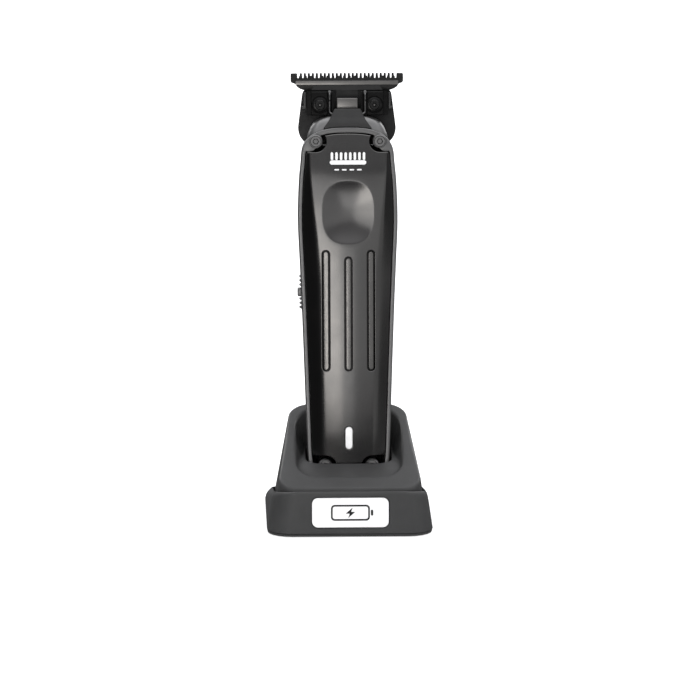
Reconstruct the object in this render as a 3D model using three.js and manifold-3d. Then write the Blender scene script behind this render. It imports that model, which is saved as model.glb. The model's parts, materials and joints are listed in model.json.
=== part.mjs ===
// Cordless T-blade hair trimmer standing in its charging stand.
// Millimetres, +Z up, front faces -Y, origin on the ground under the middle of the stand.
// The trimmer is drawn upright in its own frame (X right, Y back, Z from its lower end to the
// blade) and leans back into the stand as one turned group.
import * as THREE from 'three';
import { mergeVertices } from 'three/addons/utils/BufferGeometryUtils.js';
import Module from 'manifold-3d';

const wasm = await Module();
wasm.setup();

// ---- driving dimensions ----------------------------------------------------------------

const GAP = 0.3; // clearance between neighbouring pieces
const ROUND = 20; // facets round a small round piece

const LEAN = THREE.MathUtils.degToRad(8); // how far the trimmer leans back in the stand
const SEAT = new THREE.Vector3(0, -3.7, 16.5); // middle of the trimmer's lower end

// Trimmer body outline, seen from the front.
const BODY = {
  cornerRadius: 6,
  side: [
    [0, 16.1], [31.5, 17.1], [68.3, 18.4], [88.3, 19.25], [104.3, 19.9], [120.3, 19.4], [128.3, 18.6],
  ],
  shoulder: 128.3, // where the side turns into the arched top
  top: 141.4,
  archPower: 2.65,
};

// Depths in the trimmer, negative towards the front.
const FRAME = { front: -7, back: 3, wall: 1.6, topWall: 2.3, bottomWall: 3 };
const BOSS = {
  radius: 3.3,
  front: -7.5,
  back: -1.5,
  holeRadius: 1.5,
  places: [[12.8, 135.8], [-12.8, 135.8], [9.3, 5.8], [-9.3, 5.8]],
};
const FRAME_SCREW = { headRadius: 2.7, headHeight: 1.9, shankRadius: 1.2, keyRadius: 1.7, keyDepth: 1 };
const COVER = {
  inset: 1.95, // from the body outline, which leaves a fine gap inside the frame's rim
  bottom: 3.4,
  top: 138.7,
  foot: -5.4,
  edge: -7.6,
  wall: 2.2,
  flankSlope: 0.7,
  crown: [[0, -11.4], [20, -12.4], [60, -12.6], [112, -12.4], [128, -11.7], [138.7, -10.4]],
  crease: [[0, 9.8], [60, 10.5], [104, 12], [131, 14.6], [138.7, 15]],
  notchRadius: 4.3,
};
const COVER_ROWS = [
  COVER.bottom, 5, 8, 14, 22, 34, 46, 60, 74, 88, 98, 108, 116, 124, 128.3, 131, 133.5, 135.5, 137.2,
  COVER.top,
];
const DISH = { z: 107.8, depthCentre: -13.75, radii: [11.6, 3, 14.3] }; // hollow for the thumb
const SLOT = { pitch: 9, width: 2.8, bottom: 44, top: 92.4, centreTop: 89.8 };
const INLAY = { inset: 0.475, front: -11.9, centreFront: -12.3, back: -10 };
const LIGHT = { bottom: 12.7, top: 21.8, width: 3, front: -12.2, back: -9.6 };
const REAR = {
  depth: [
    [0, 10.6], [15, 12.3], [45, 14.2], [80, 15.5], [104, 15.2], [120, 13], [128, 10.6], [134, 7.4],
    [141.4, 6.6],
  ],
  wall: 1.8,
  plateSeatBottom: 133.5, // the housing stops here behind the blade bracket
};

// Drive: motor axis, eccentric pin and its follower.
const DRIVE = {
  axis: 0.4,
  throw: 0.9,
  pinRadius: 0.8,
  pinTop: 151.4,
  pinPlay: 0.15,
  cam: [141.9, 144.7],
  camRadius: 3.4,
};
const MOTOR = { radius: 8.5, bottom: 80, top: 117.6, shaftRadius: 1.15 };
const CRADLE = {
  halfWidth: 14,
  depth: [-6, 8.4],
  thickness: 2.4,
  cheek: [11, 13],
  cheekDepth: [-4, 8],
  drop: 16,
};
const BATTERY = { radius: 6.6, bottom: 14, top: 64, depth: 2.6 };
const BOARD = { halfWidth: 11, depth: [-6.4, -5.2], height: [11.5, 74] };

// Sockets for the charging lead, one in the trimmer's lower end and one in the stand's back.
const PORT = { halfWidth: 4.5, halfHeight: 1.65, sheet: 0.4, tongueHalfWidth: 3.3, tongueHalfHeight: 0.35 };
const JACK = { bottom: 0.3, top: 8 };

// Blade set: depth ranges from front to back.
const BLADE = {
  clamp: [-2.2, 1.9],
  follower: [-2.1, 2.05],
  moving: [2.35, 3.25],
  fixed: [3.55, 4.9],
  bracket: [5.2, 6.6],
  bracketBottom: 133.9,
  plateTop: 155.5, // upper edge of the bracket and the clamp
  clampBottom: 145.9,
  screw: {
    x: 10.9,
    z: 150.2,
    headRadius: 2.3,
    headHeight: 1.3,
    shankRadius: 1.2,
    holeRadius: 1.5,
    pocketRadius: 3.4,
  },
  washer: { radius: 3, thickness: 0.4 },
};
const TEETH = { count: 24, pitch: 1.6, root: 160.5, tip: 163.1, width: 0.75 };
const CUTTERS = { count: 18, pitch: 2.2, root: 160.1, tip: 161.7, width: 1.1 };
const FOLLOWER = { halfWidth: 4.1, height: [148.7, 153.3], slotTop: 152.3 };
const SPRING = { wireRadius: 0.5, arm: 7.1, front: -3.1, bottom: 146.7, top: 155.2, tip: 1.6 };

// Sliding switch in the left side of the frame.
const SWITCH = {
  bottom: 68.3,
  top: 82.8,
  travel: 3,
  halfDepth: 2.6,
  y: -2,
  nub: [73.6, 77],
  nubHeight: 1.5,
  ribHeight: 0.5,
  ribWidth: 0.8,
  ribPitch: 1.7,
};

// Stand.
const TOWER = {
  front: -33.5,
  frontTop: 19.2,
  rimSlope: THREE.MathUtils.degToRad(24.4),
  corner: 7,
  wall: 2,
};
const SKIRT = {
  halfDepth: 37,
  frontTop: 18.5,
  topFall: THREE.MathUtils.degToRad(11), // its top edge sinks towards the back
  bottom: 1.6,
  wall: 2,
  corner: 10,
};
const BAY = {
  front: -27,
  halfWidth: 21,
  back: 13, // at the height where the back wall starts to lean
  leanFrom: 26,
  lean: 0.176,
  corner: 8,
  lipHeight: 22.2,
  floorSlope: 0.294,
  floorBreak: -15.2,
  backFloorSlope: 0.055,
};
const SOCKET = { floor: -0.8, front: -13.3, back: 12.4, halfWidth: 16.9, draft: 0.06, corner: 6 };
const BADGE = { width: 30.6, height: 11.9, z: 10, thickness: 1, corner: 2.4 };
const INLET = { z: 9.4, y: [24.4, 31.5] };
const PLATE = { bottom: 0.3, flangeTop: 1.3, top: 2.8 };
const SKIRT_SCREWS = [[27.2, -29.2], [-27.2, -29.2]];
const TOWER_SCREWS = [[25.6, 27], [-25.6, 27]];
const FEET = [[18, -31], [-18, -31], [18, 31], [-18, 31]];
const FOOT = { radius: 4, height: 1.1, round: 0.3 };
const POST = { radius: 3.2, bottom: 3.2, holeRadius: 1.6, holeTop: 11 };
const CHARGE_X = 8; // the two charging contacts sit this far from the middle
const CONTACT = { headRadius: 1.6, stemRadius: 0.9, bottom: 0.2, shoulder: 1.2, top: 6, holeRadius: 1.9 };
const PIN = { radius: 0.9, collarRadius: 1.25, boreRadius: 1.6, bottom: -6.8, collar: [-6.4, -5.2] };
const PIN_BLOCK = { halfWidth: 11.5, depth: [-3, 3.8], bottom: -8.2 };

// ---- materials ---------------------------------------------------------------------------

const LOOKS = {
  chrome: { color: 0x3a3a40, roughness: 0.15, metalness: 0.9 },
  frame: { color: 0x606063, roughness: 0.4, metalness: 0.7 },
  polished: { color: 0x8c8a86, roughness: 0.2, metalness: 1 },
  blade: { color: 0x1c1c1e, roughness: 0.35, metalness: 0.7 },
  steel: { color: 0xb4b4b0, roughness: 0.3, metalness: 1 },
  screw: { color: 0x2c2c2f, roughness: 0.35, metalness: 0.8 },
  plastic: { color: 0x3c3c40, roughness: 0.6, metalness: 0 },
  white: { color: 0xf4f4f2, roughness: 0.2, metalness: 0 },
  rubber: { color: 0x18181a, roughness: 0.9, metalness: 0 },
  board: { color: 0x1f5a38, roughness: 0.5, metalness: 0 },
  gold: { color: 0xd4b060, roughness: 0.3, metalness: 1 },
  cell: { color: 0x2d63a8, roughness: 0.4, metalness: 0 },
};

const group = new THREE.Group();
const trimmer = new THREE.Group();
trimmer.rotation.x = -LEAN;
trimmer.position.copy(SEAT);
group.add(trimmer);

function addPiece(parent, name, geometry, look) {
  const mesh = new THREE.Mesh(geometry, new THREE.MeshStandardMaterial(LOOKS[look]));
  mesh.name = name;
  parent.add(mesh);
  return mesh;
}

// ---- solid helpers -----------------------------------------------------------------------

function toSolid(geometry) {
  const bare = geometry.clone();
  bare.deleteAttribute('normal');
  bare.deleteAttribute('uv');
  const merged = mergeVertices(bare, 1e-4);
  const vertProperties = new Float32Array(merged.attributes.position.array);
  const triVerts = new Uint32Array(merged.index.array);
  return new wasm.Manifold(new wasm.Mesh({ numProp: 3, vertProperties, triVerts }));
}

function toGeometry(solid) {
  const mesh = solid.getMesh();
  const geometry = new THREE.BufferGeometry();
  geometry.setAttribute('position', new THREE.BufferAttribute(new Float32Array(mesh.vertProperties), 3));
  geometry.setIndex(new THREE.BufferAttribute(new Uint32Array(mesh.triVerts), 1));
  geometry.computeVertexNormals();
  return geometry;
}

function cut(geometry, cutters) {
  return toGeometry(cutters.reduce((solid, cutter) => solid.subtract(toSolid(cutter)), toSolid(geometry)));
}

function join(geometries) {
  return toGeometry(geometries.map(toSolid).reduce((all, next) => all.add(next)));
}

function common(a, b) {
  return toGeometry(toSolid(a).intersect(toSolid(b)));
}

// Range that reaches equally far to both sides of a middle.
function spread(half, middle = 0) {
  return [middle - half, middle + half];
}

function box(x, y, z) {
  const geometry = new THREE.BoxGeometry(x[1] - x[0], y[1] - y[0], z[1] - z[0]);
  return geometry.translate((x[0] + x[1]) / 2, (y[0] + y[1]) / 2, (z[0] + z[1]) / 2);
}

// Round bars along Y (depth) and along Z (height).
function barY(radius, y, x, z, facets = ROUND) {
  const geometry = new THREE.CylinderGeometry(radius, radius, y[1] - y[0], facets);
  return geometry.translate(x, (y[0] + y[1]) / 2, z);
}

function barZ(radius, z, x, y, facets = ROUND) {
  const geometry = new THREE.CylinderGeometry(radius, radius, z[1] - z[0], facets).rotateX(Math.PI / 2);
  return geometry.translate(x, y, (z[0] + z[1]) / 2);
}

// Outline given in X and Z, extruded through a range of depths.
function plateXZ(points, y) {
  const shape = new THREE.Shape(points.map(([x, z]) => new THREE.Vector2(x, z)));
  const geometry = new THREE.ExtrudeGeometry(shape, { depth: y[1] - y[0], bevelEnabled: false });
  return geometry.rotateX(Math.PI / 2).translate(0, y[1], 0);
}

function mirroredOutline(half) {
  const left = half.filter(([x]) => x > 0).map(([x, z]) => [-x, z]).reverse();
  return half.concat(left);
}

// Upright slot shape with round ends.
function stadium(x, width, bottom, top, steps = 8) {
  const radius = width / 2;
  const points = [];
  for (const [centre, from] of [[bottom + radius, Math.PI], [top - radius, 0]]) {
    for (let i = 0; i <= steps; i++) {
      const angle = from + (Math.PI * i) / steps;
      points.push([x + radius * Math.cos(angle), centre + radius * Math.sin(angle)]);
    }
  }
  return points;
}

// Smooth curve through [at, value] knots, with level-free slopes taken from the neighbours.
function through(knots, at) {
  const last = knots.length - 2;
  let i = 0;
  while (i < last && at > knots[i + 1][0]) i++;
  const slope = (k) => {
    const a = knots[Math.max(k - 1, 0)];
    const b = knots[Math.min(k + 1, knots.length - 1)];
    return (b[1] - a[1]) / (b[0] - a[0]);
  };
  const span = knots[i + 1][0] - knots[i][0];
  const t = THREE.MathUtils.clamp((at - knots[i][0]) / span, 0, 1);
  const rise = t * t * (3 - 2 * t);
  const bend = span * (slope(i) * t * (1 - t) * (1 - t) - slope(i + 1) * t * t * (1 - t));
  return knots[i][1] * (1 - rise) + knots[i + 1][1] * rise + bend;
}

// Closed solid through rings of points. Each ring starts on the middle plane x = 0 and is
// symmetric about it, so the two ends are closed by rungs between its left and right halves.
function ringSolid(rings) {
  const count = rings[0].length;
  const index = [];
  for (let r = 0; r + 1 < rings.length; r++) {
    for (let i = 0; i < count; i++) {
      const a = r * count + i;
      const b = r * count + ((i + 1) % count);
      index.push(a, b, b + count, a, b + count, a + count);
    }
  }
  for (const [base, turn] of [[0, true], [(rings.length - 1) * count, false]]) {
    for (let i = 0; i < count / 2; i++) {
      const corners = [i, i + 1, count - i - 1, (count - i) % count].map((k) => base + k);
      const tris = [[corners[0], corners[1], corners[2]], [corners[0], corners[2], corners[3]]];
      for (const tri of tris.filter((t) => new Set(t).size === 3)) {
        index.push(...(turn ? tri.reverse() : tri));
      }
    }
  }
  const geometry = new THREE.BufferGeometry().setFromPoints(rings.flat());
  return outward(geometry, index);
}

// Sets the triangles, turned so that the solid's volume is positive.
function outward(geometry, index) {
  const at = (i) => new THREE.Vector3().fromBufferAttribute(geometry.attributes.position, i);
  let volume = 0;
  for (let i = 0; i < index.length; i += 3) {
    volume += at(index[i]).dot(at(index[i + 1]).cross(at(index[i + 2])));
  }
  geometry.setIndex(volume > 0 ? index : index.reverse());
  geometry.computeVertexNormals();
  return geometry;
}

// Right half of a round-cornered rectangle, from its lower middle to its upper middle.
function halfRectangle(halfWidth, low, high, radius, steps = 5) {
  const half = [[0, low]];
  for (const [centre, from] of [[low + radius, -Math.PI / 2], [high - radius, 0]]) {
    for (let i = 0; i <= steps; i++) {
      const angle = from + (Math.PI / 2 / steps) * i;
      half.push([halfWidth - radius + radius * Math.cos(angle), centre + radius * Math.sin(angle)]);
    }
  }
  half.push([0, high]);
  return half;
}

// Solid through round-cornered rectangles at rising heights.
function riser(sections) {
  return ringSolid(sections.map(({ z, halfWidth, front, back, radius }) =>
    mirroredOutline(halfRectangle(halfWidth, front, back, radius))
      .map(([x, y]) => new THREE.Vector3(x, y, z))));
}

// ---- trimmer body ------------------------------------------------------------------------

function bodyHalfWidth(z) {
  if (z < BODY.shoulder) return through(BODY.side, z);
  const rise = (z - BODY.shoulder) / (BODY.top - BODY.shoulder);
  const shoulderWidth = BODY.side.at(-1)[1];
  return shoulderWidth * Math.max(1 - rise ** BODY.archPower, 0) ** (1 / BODY.archPower);
}

// Right half of the body outline, from the bottom middle to the top middle, moved inwards.
function bodyHalf(inset, topInset = inset, bottomInset = inset, power = BODY.archPower) {
  const radius = Math.max(BODY.cornerRadius - inset, 1);
  const half = [[0, bottomInset]];
  for (let i = 0; i <= 4; i++) {
    const angle = (Math.PI / 8) * i;
    const x = through(BODY.side, 0) - inset - radius * (1 - Math.sin(angle));
    half.push([x, bottomInset + radius * (1 - Math.cos(angle))]);
  }
  for (const z of [14, 24, 34, 46, 58, 68, 80, 90, 98, 106, 114, 122]) {
    half.push([through(BODY.side, z) - inset, z]);
  }
  const width = bodyHalfWidth(BODY.shoulder) - inset;
  const height = BODY.top - BODY.shoulder - topInset;
  for (let i = 0; i <= 8; i++) {
    const angle = (Math.PI / 16) * i;
    const x = i === 8 ? 0 : width * Math.cos(angle) ** (2 / power);
    half.push([x, BODY.shoulder + height * Math.sin(angle) ** (2 / power)]);
  }
  return half;
}

function bodySlab(half, y) {
  return ringSolid(y.map((depth) =>
    mirroredOutline(half).map(([x, z]) => new THREE.Vector3(x, depth, z))));
}

function makeMidFrame() {
  const outer = bodySlab(bodyHalf(0), [FRAME.front, FRAME.back]);
  const inner = bodySlab(
    bodyHalf(FRAME.wall, FRAME.topWall, FRAME.bottomWall, 3), [FRAME.front - 1, FRAME.back + 1]);
  const bosses = BOSS.places.map(([x, z]) => barY(BOSS.radius, [BOSS.front, BOSS.back], x, z));
  const bore = [BOSS.front - 1, BOSS.back - 1];
  const holes = BOSS.places.map(([x, z]) => barY(BOSS.holeRadius, bore, x, z, 12));
  const floor = [-1, FRAME.bottomWall + 1];
  const contactHoles = [-CHARGE_X, CHARGE_X].map((x) => barZ(CONTACT.holeRadius, floor, x, DRIVE.axis));
  const jackHole = box(spread(PORT.halfWidth + 0.4), spread(PORT.halfHeight + 0.4), floor);
  const shaftHole = barZ(2.2, [BODY.top - 4, BODY.top + 1], 0, DRIVE.axis);
  const switchRoom = 1.1;
  const switchHole = box(
    [-24, -14], spread(SWITCH.halfDepth + switchRoom, SWITCH.y),
    [SWITCH.bottom - switchRoom - GAP, SWITCH.top + SWITCH.travel + switchRoom + GAP]);
  const ring = join([cut(outer, [inner]), ...bosses]);
  return cut(ring, [...holes, ...contactHoles, jackHole, shaftHole, switchHole]);
}

// The cover is a convex sheet: flanks rise from its edge to a crease, and a gently crowned
// panel lies between the creases.
function coverColumn(z, share) {
  const edge = coverHalfWidth(z);
  const crease = Math.min(through(COVER.crease, z), edge - 0.4);
  const creaseDepth = COVER.edge - (edge - crease) * COVER.flankSlope;
  const crown = Math.min(through(COVER.crown, z), creaseDepth - 0.1);
  const x = crease * share;
  return { edge, x, y: crown + (creaseDepth - crown) * share * share };
}

function coverHalfWidth(z) {
  if (z < BODY.cornerRadius) {
    const radius = BODY.cornerRadius - COVER.inset;
    const drop = Math.min(Math.max(BODY.cornerRadius - z, 0), radius);
    return bodyHalfWidth(z) - COVER.inset - radius + Math.sqrt(radius * radius - drop * drop);
  }
  if (z < BODY.shoulder) return bodyHalfWidth(z) - COVER.inset;
  const rise = (z - BODY.shoulder) / (BODY.top - FRAME.topWall - GAP - BODY.shoulder);
  return (bodyHalfWidth(BODY.shoulder) - COVER.inset) * Math.max(1 - rise ** 3, 0) ** (1 / 3);
}

function coverRow(z, inner) {
  const shares = [1, 0.66, 0.33, 0, -0.33, -0.66, -1];
  const sink = inner ? COVER.wall : 0;
  const { edge } = coverColumn(z, 0);
  const side = edge - (inner ? 1.5 : 0);
  const panel = shares.map((share) => {
    const { x, y } = coverColumn(z, share);
    return [Math.sign(x) * Math.min(Math.abs(x), side - 0.1), Math.min(y + sink, COVER.foot - 0.2)];
  });
  const shoulder = Math.min(COVER.edge + sink, COVER.foot - 0.1);
  const row = [[side, COVER.foot], [side, shoulder], ...panel, [-side, shoulder], [-side, COVER.foot]];
  return row.map(([x, y]) => new THREE.Vector3(x, y, z));
}

function coverSheet() {
  return sheetSolid(COVER_ROWS.map((z) => coverRow(z, false).concat(coverRow(z, true).reverse())));
}

// Closed solid from rings that each run over the outer side of a sheet and back along its
// inner side: the first and last ring are closed by quads between the two sides.
function sheetSolid(rings) {
  const count = rings[0].length;
  const index = [];
  const quad = (a, b, c, d) => index.push(a, b, c, a, c, d);
  for (let r = 0; r + 1 < rings.length; r++) {
    for (let i = 0; i < count; i++) {
      const next = (i + 1) % count;
      quad(r * count + i, r * count + next, (r + 1) * count + next, (r + 1) * count + i);
    }
  }
  const last = (rings.length - 1) * count;
  for (let i = 0; i + 1 < count / 2; i++) {
    quad(i, count - 1 - i, count - 2 - i, i + 1);
    quad(last + i, last + i + 1, last + count - 2 - i, last + count - 1 - i);
  }
  return outward(new THREE.BufferGeometry().setFromPoints(rings.flat()), index);
}

function slotPlaces() {
  return [[-SLOT.pitch, SLOT.top], [0, SLOT.centreTop], [SLOT.pitch, SLOT.top]];
}

function makeFrontCover() {
  const depths = [-20, 0];
  const notches = BOSS.places.flatMap(([x, z]) => {
    const up = z > BODY.shoulder;
    const far = [Math.min(x, Math.sign(x) * 24), Math.max(x, Math.sign(x) * 24)];
    const outside = up ? [z - COVER.notchRadius, BODY.top + 1] : [-1, z + COVER.notchRadius];
    return [barY(COVER.notchRadius, depths, x, z), box(far, depths, outside)];
  });
  const slots = slotPlaces().map(([x, top]) => plateXZ(stadium(x, SLOT.width, SLOT.bottom, top), depths));
  const light = plateXZ(stadium(0, LIGHT.width, LIGHT.bottom, LIGHT.top), depths);
  const dish = new THREE.SphereGeometry(1, 24, 14).scale(...DISH.radii);
  dish.translate(0, DISH.depthCentre, DISH.z);
  return cut(coverSheet(), [...notches, ...slots, light, dish]);
}

function rearLevels(inset, depthInset, start) {
  const steps = [[0, 0], [0.35, 0.5], [0.65, 2], [0.87, 4.6], [1, 8.4]];
  return steps.map(([share, draw]) => mirroredOutline(bodyHalf(inset + draw)).map(([x, z]) => {
    const full = through(REAR.depth, z) - depthInset - start;
    return new THREE.Vector3(x, start + full * share, z);
  }));
}

function makeRearHousing() {
  const front = FRAME.back + GAP;
  const outer = ringSolid(rearLevels(0, 0, front));
  const hollow = ringSolid(rearLevels(REAR.wall, REAR.wall, front - 0.01));
  const mouth = bodySlab(bodyHalf(REAR.wall), [front - 1, front + 0.2]);
  const plateSeat = box([-30, 30], [BLADE.bracket[0] - GAP, 30], [REAR.plateSeatBottom, 160]);
  return cut(outer, [hollow, mouth, plateSeat]);
}

function addShells() {
  addPiece(trimmer, 'mid_frame', makeMidFrame(), 'frame');
  addPiece(trimmer, 'front_cover', makeFrontCover(), 'chrome');
  addPiece(trimmer, 'rear_housing', makeRearHousing(), 'chrome');
  BOSS.places.forEach(([x, z], i) => {
    const { headRadius, headHeight, shankRadius, keyRadius, keyDepth } = FRAME_SCREW;
    const under = BOSS.front - GAP;
    const head = barY(headRadius, [under - headHeight, under], x, z, 24);
    const shank = barY(shankRadius, [under - 0.2, BOSS.back - 1.5], x, z, 12);
    const key = barY(keyRadius, [under - headHeight - 1, under - headHeight + keyDepth], x, z, 6);
    addPiece(trimmer, `frame_screw_${i + 1}`, cut(join([head, shank]), [key]), 'screw');
  });
}

function addCoverTrim() {
  const names = ['inlay_bar_left', 'inlay_bar_centre', 'inlay_bar_right'];
  slotPlaces().forEach(([x, top], i) => {
    const { inset } = INLAY;
    const outline = stadium(x, SLOT.width - 2 * inset, SLOT.bottom + inset, top - inset);
    const front = x === 0 ? INLAY.centreFront : INLAY.front;
    addPiece(trimmer, names[i], plateXZ(outline, [front, INLAY.back]), 'polished');
  });
  const pill = stadium(0, LIGHT.width - 2 * GAP, LIGHT.bottom + GAP, LIGHT.top - GAP);
  addPiece(trimmer, 'led_window', plateXZ(pill, [LIGHT.front, LIGHT.back]), 'white');
}

// ---- trimmer insides ---------------------------------------------------------------------

function addInsides() {
  addPiece(trimmer, 'main_pcb', box(spread(BOARD.halfWidth), BOARD.depth, BOARD.height), 'board');
  const cell = barZ(BATTERY.radius, [BATTERY.bottom, BATTERY.top], 0, BATTERY.depth, 24);
  addPiece(trimmer, 'battery', cell, 'cell');
  const can = barZ(MOTOR.radius, [MOTOR.bottom, MOTOR.top], 0, DRIVE.axis, 28);
  addPiece(trimmer, 'motor_body', can, 'steel');
  addPiece(trimmer, 'motor_cradle', makeCradle(), 'plastic');
  for (const [name, x] of [['charge_contact_left', -CHARGE_X], ['charge_contact_right', CHARGE_X]]) {
    const head = barZ(CONTACT.headRadius, [CONTACT.bottom, CONTACT.shoulder], x, DRIVE.axis);
    const stem = barZ(CONTACT.stemRadius, [CONTACT.shoulder - 0.2, CONTACT.top], x, DRIVE.axis, 12);
    addPiece(trimmer, name, join([head, stem]), 'gold');
  }
  const jack = makePort(JACK.top - JACK.bottom).rotateX(Math.PI / 2).translate(0, 0, JACK.bottom);
  addPiece(trimmer, 'charge_jack', jack, 'steel');
}

// Plate over the motor with two cheeks that hold its sides.
function makeCradle() {
  const bottom = MOTOR.top + GAP;
  const plate = box(spread(CRADLE.halfWidth), CRADLE.depth, [bottom, bottom + CRADLE.thickness]);
  const height = [MOTOR.top - CRADLE.drop, bottom + 1];
  const [near, far] = CRADLE.cheek;
  const cheeks = [[near, far], [-far, -near]].map((x) => box(x, CRADLE.cheekDepth, height));
  const shaftHole = barZ(3, [MOTOR.top - 5, MOTOR.top + 6], 0, DRIVE.axis);
  return cut(join([plate, ...cheeks]), [shaftHole]);
}

// Sheet-metal socket with a tongue inside. Its mouth is at y = 0 and faces -Y.
function makePort(length) {
  const { halfWidth, halfHeight, sheet, tongueHalfWidth, tongueHalfHeight } = PORT;
  const backWall = 1.4;
  const shell = box(spread(halfWidth), [0, length], spread(halfHeight));
  const mouth = box(spread(halfWidth - sheet), [-1, length - backWall], spread(halfHeight - sheet));
  const tongue = box(spread(tongueHalfWidth), [1, length - backWall + 0.2], spread(tongueHalfHeight));
  return join([cut(shell, [mouth]), tongue]);
}

function addSwitch() {
  const wallX = -bodyHalfWidth((SWITCH.bottom + SWITCH.top) / 2);
  const y = spread(SWITCH.halfDepth, SWITCH.y);
  const z = [SWITCH.bottom, SWITCH.top];
  const run = [z[0], z[1] + SWITCH.travel];
  const track = box([wallX + 0.2, wallX + 2.6], [y[0] - 0.8, y[1] + 0.8], [run[0] - 1.1, run[1] + 1.1]);
  const lane = box([wallX - 1, wallX + 1.6], [y[0] - GAP, y[1] + GAP], [run[0] - GAP, run[1] + GAP]);
  const slot = box([wallX - 1, wallX + 4], spread(1, SWITCH.y), [z[0] + 4.6, run[1] - 4.6]);
  addPiece(trimmer, 'switch_base', cut(track, [lane, slot]), 'plastic');

  const plate = box([wallX, wallX + 1.3], y, z);
  const knobDepth = [y[0] + GAP, y[1] - GAP];
  const nub = box([wallX - SWITCH.nubHeight, wallX + 0.1], knobDepth, SWITCH.nub);
  const stem = box([wallX + 1, wallX + 3.6], spread(0.7, SWITCH.y), [z[0] + 5, z[0] + 8.4]);
  const ribs = [];
  for (const start of [z[0] + 0.5, SWITCH.nub[1] + 0.8]) {
    for (let k = 0; k < 3; k++) {
      const low = start + SWITCH.ribPitch * k;
      ribs.push(box([wallX - SWITCH.ribHeight, wallX + 0.1], knobDepth, [low, low + SWITCH.ribWidth]));
    }
  }
  addPiece(trimmer, 'switch_slider', join([plate, nub, stem, ...ribs]), 'frame');
  const unit = box([wallX + 4, wallX + 7.4], spread(2.4, SWITCH.y), [z[0] - 0.4, run[1] + 0.4]);
  addPiece(trimmer, 'switch_unit', unit, 'plastic');
}

// ---- neck and blade set ------------------------------------------------------------------

function addNeck() {
  const cone = riser([
    { z: 134, halfWidth: 16.6, front: -6.6, back: 4.9, radius: 4.5 },
    { z: 138, halfWidth: 15.7, front: -6.2, back: 4.9, radius: 4.3 },
    { z: 142, halfWidth: 13, front: -5, back: 4.9, radius: 3.4 },
    { z: 144.3, halfWidth: 10.6, front: -4, back: 4.9, radius: 2.8 },
    { z: 145.6, halfWidth: 8.8, front: -3, back: 4.9, radius: 2 },
  ]);
  const body = bodySlab(bodyHalf(-2 * GAP), [-20, 20]);
  const bore = barZ(4.3, [130, 150], 0, DRIVE.axis, 24);
  addPiece(trimmer, 'neck_housing', cut(cone, [body, bore]), 'frame');

  // Thin trapezoid shield that leans back from the arch to the blade clamp.
  const shield = (z, halfWidth, front, back) => {
    const outline = mirroredOutline(halfRectangle(halfWidth, front, back, 0.4, 1));
    return outline.map(([x, y]) => new THREE.Vector3(x, y, z));
  };
  const cover = ringSolid([
    shield(141.7, 9.3, -8, -6.2), shield(142.6, 8.8, -7.8, -6), shield(145.4, 7.2, -6.3, -4.9),
    shield(148.8, 5.2, -5.2, -4.1),
  ]);
  addPiece(trimmer, 'neck_cover', cover, 'plastic');
}

function addBracketAndClamp() {
  const { bracket, bracketBottom, clamp, clampBottom, plateTop, screw } = BLADE;
  const half = [
    [0, bracketBottom], [14.2, bracketBottom], [17.2, 135], [19, 137.4], [19.7, 140.3],
    [17.8, plateTop - 0.9], [17, plateTop], [0, plateTop],
  ];
  const screwHoles = [-1, 1].map((side) => barY(screw.holeRadius, [-9, 9], side * screw.x, screw.z, 14));
  const plate = cut(plateXZ(mirroredOutline(half), bracket), screwHoles);
  addPiece(trimmer, 'blade_bracket', plate, 'blade');

  const block = box(spread(16.3), clamp, [clampBottom, plateTop]);
  const channel = box(spread(5.4), [clamp[0] - 1, clamp[1] + 1], [clampBottom + 2.3, plateTop + 1]);
  const pinGate = box(spread(2.7), [-1.45, clamp[1] + 1], [clampBottom - 1, clampBottom + 3]);
  const pocketDepth = [clamp[0] - 1, clamp[0] + 1];
  const pockets = [-1, 1].map((side) => barY(screw.pocketRadius, pocketDepth, side * screw.x, screw.z, 24));
  const armNotches = [-1, 1].map((side) =>
    box(spread(0.9, side * SPRING.arm), [-9, 9], [plateTop - 1.1, plateTop + 1]));
  const cutters = [channel, pinGate, ...pockets, ...armNotches, ...screwHoles];
  addPiece(trimmer, 'blade_clamp', cut(block, cutters), 'blade');
}

function addBladeScrews() {
  const { screw, washer, clamp, bracket } = BLADE;
  const floor = clamp[0] + 1;
  for (const [side, word] of [[-1, 'left'], [1, 'right']]) {
    const x = side * screw.x;
    const ring = barY(washer.radius, [floor - GAP - washer.thickness, floor - GAP], x, screw.z, 24);
    const hole = barY(screw.holeRadius, [floor - 3, floor + 3], x, screw.z, 14);
    addPiece(trimmer, `blade_washer_${word}`, cut(ring, [hole]), 'steel');
    const under = floor - 2 * GAP - washer.thickness;
    const head = barY(screw.headRadius, [under - screw.headHeight, under], x, screw.z, 24);
    const shank = barY(screw.shankRadius, [under - 0.2, bracket[1] - 0.2], x, screw.z, 14);
    const key = barY(1.3, [under - 3, under - 0.6], x, screw.z, 6);
    addPiece(trimmer, `blade_screw_${word}`, cut(join([head, shank]), [key]), 'screw');
  }
}

// Wire spring: two arms joined below, with tips that press on the moving blade.
function addTensionSpring() {
  const { arm, front, bottom, top, tip, wireRadius } = SPRING;
  const half = [
    [arm, tip, top], [arm, front + 0.9, top], [arm, front, top - 1], [arm, front, bottom + 0.9],
    [arm - 0.9, front, bottom],
  ];
  const mirror = half.map(([x, y, z]) => [-x, y, z]).reverse();
  const points = half.concat(mirror).map((p) => new THREE.Vector3(...p));
  const path = new THREE.CatmullRomCurve3(points, false, 'catmullrom', 0.2);
  const section = new THREE.Shape().absarc(0, 0, wireRadius, 0, 2 * Math.PI);
  const wire = new THREE.ExtrudeGeometry(section, { steps: 40, extrudePath: path, curveSegments: 4 });
  addPiece(trimmer, 'tension_spring', outwardCopy(wire), 'screw');
}

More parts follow.
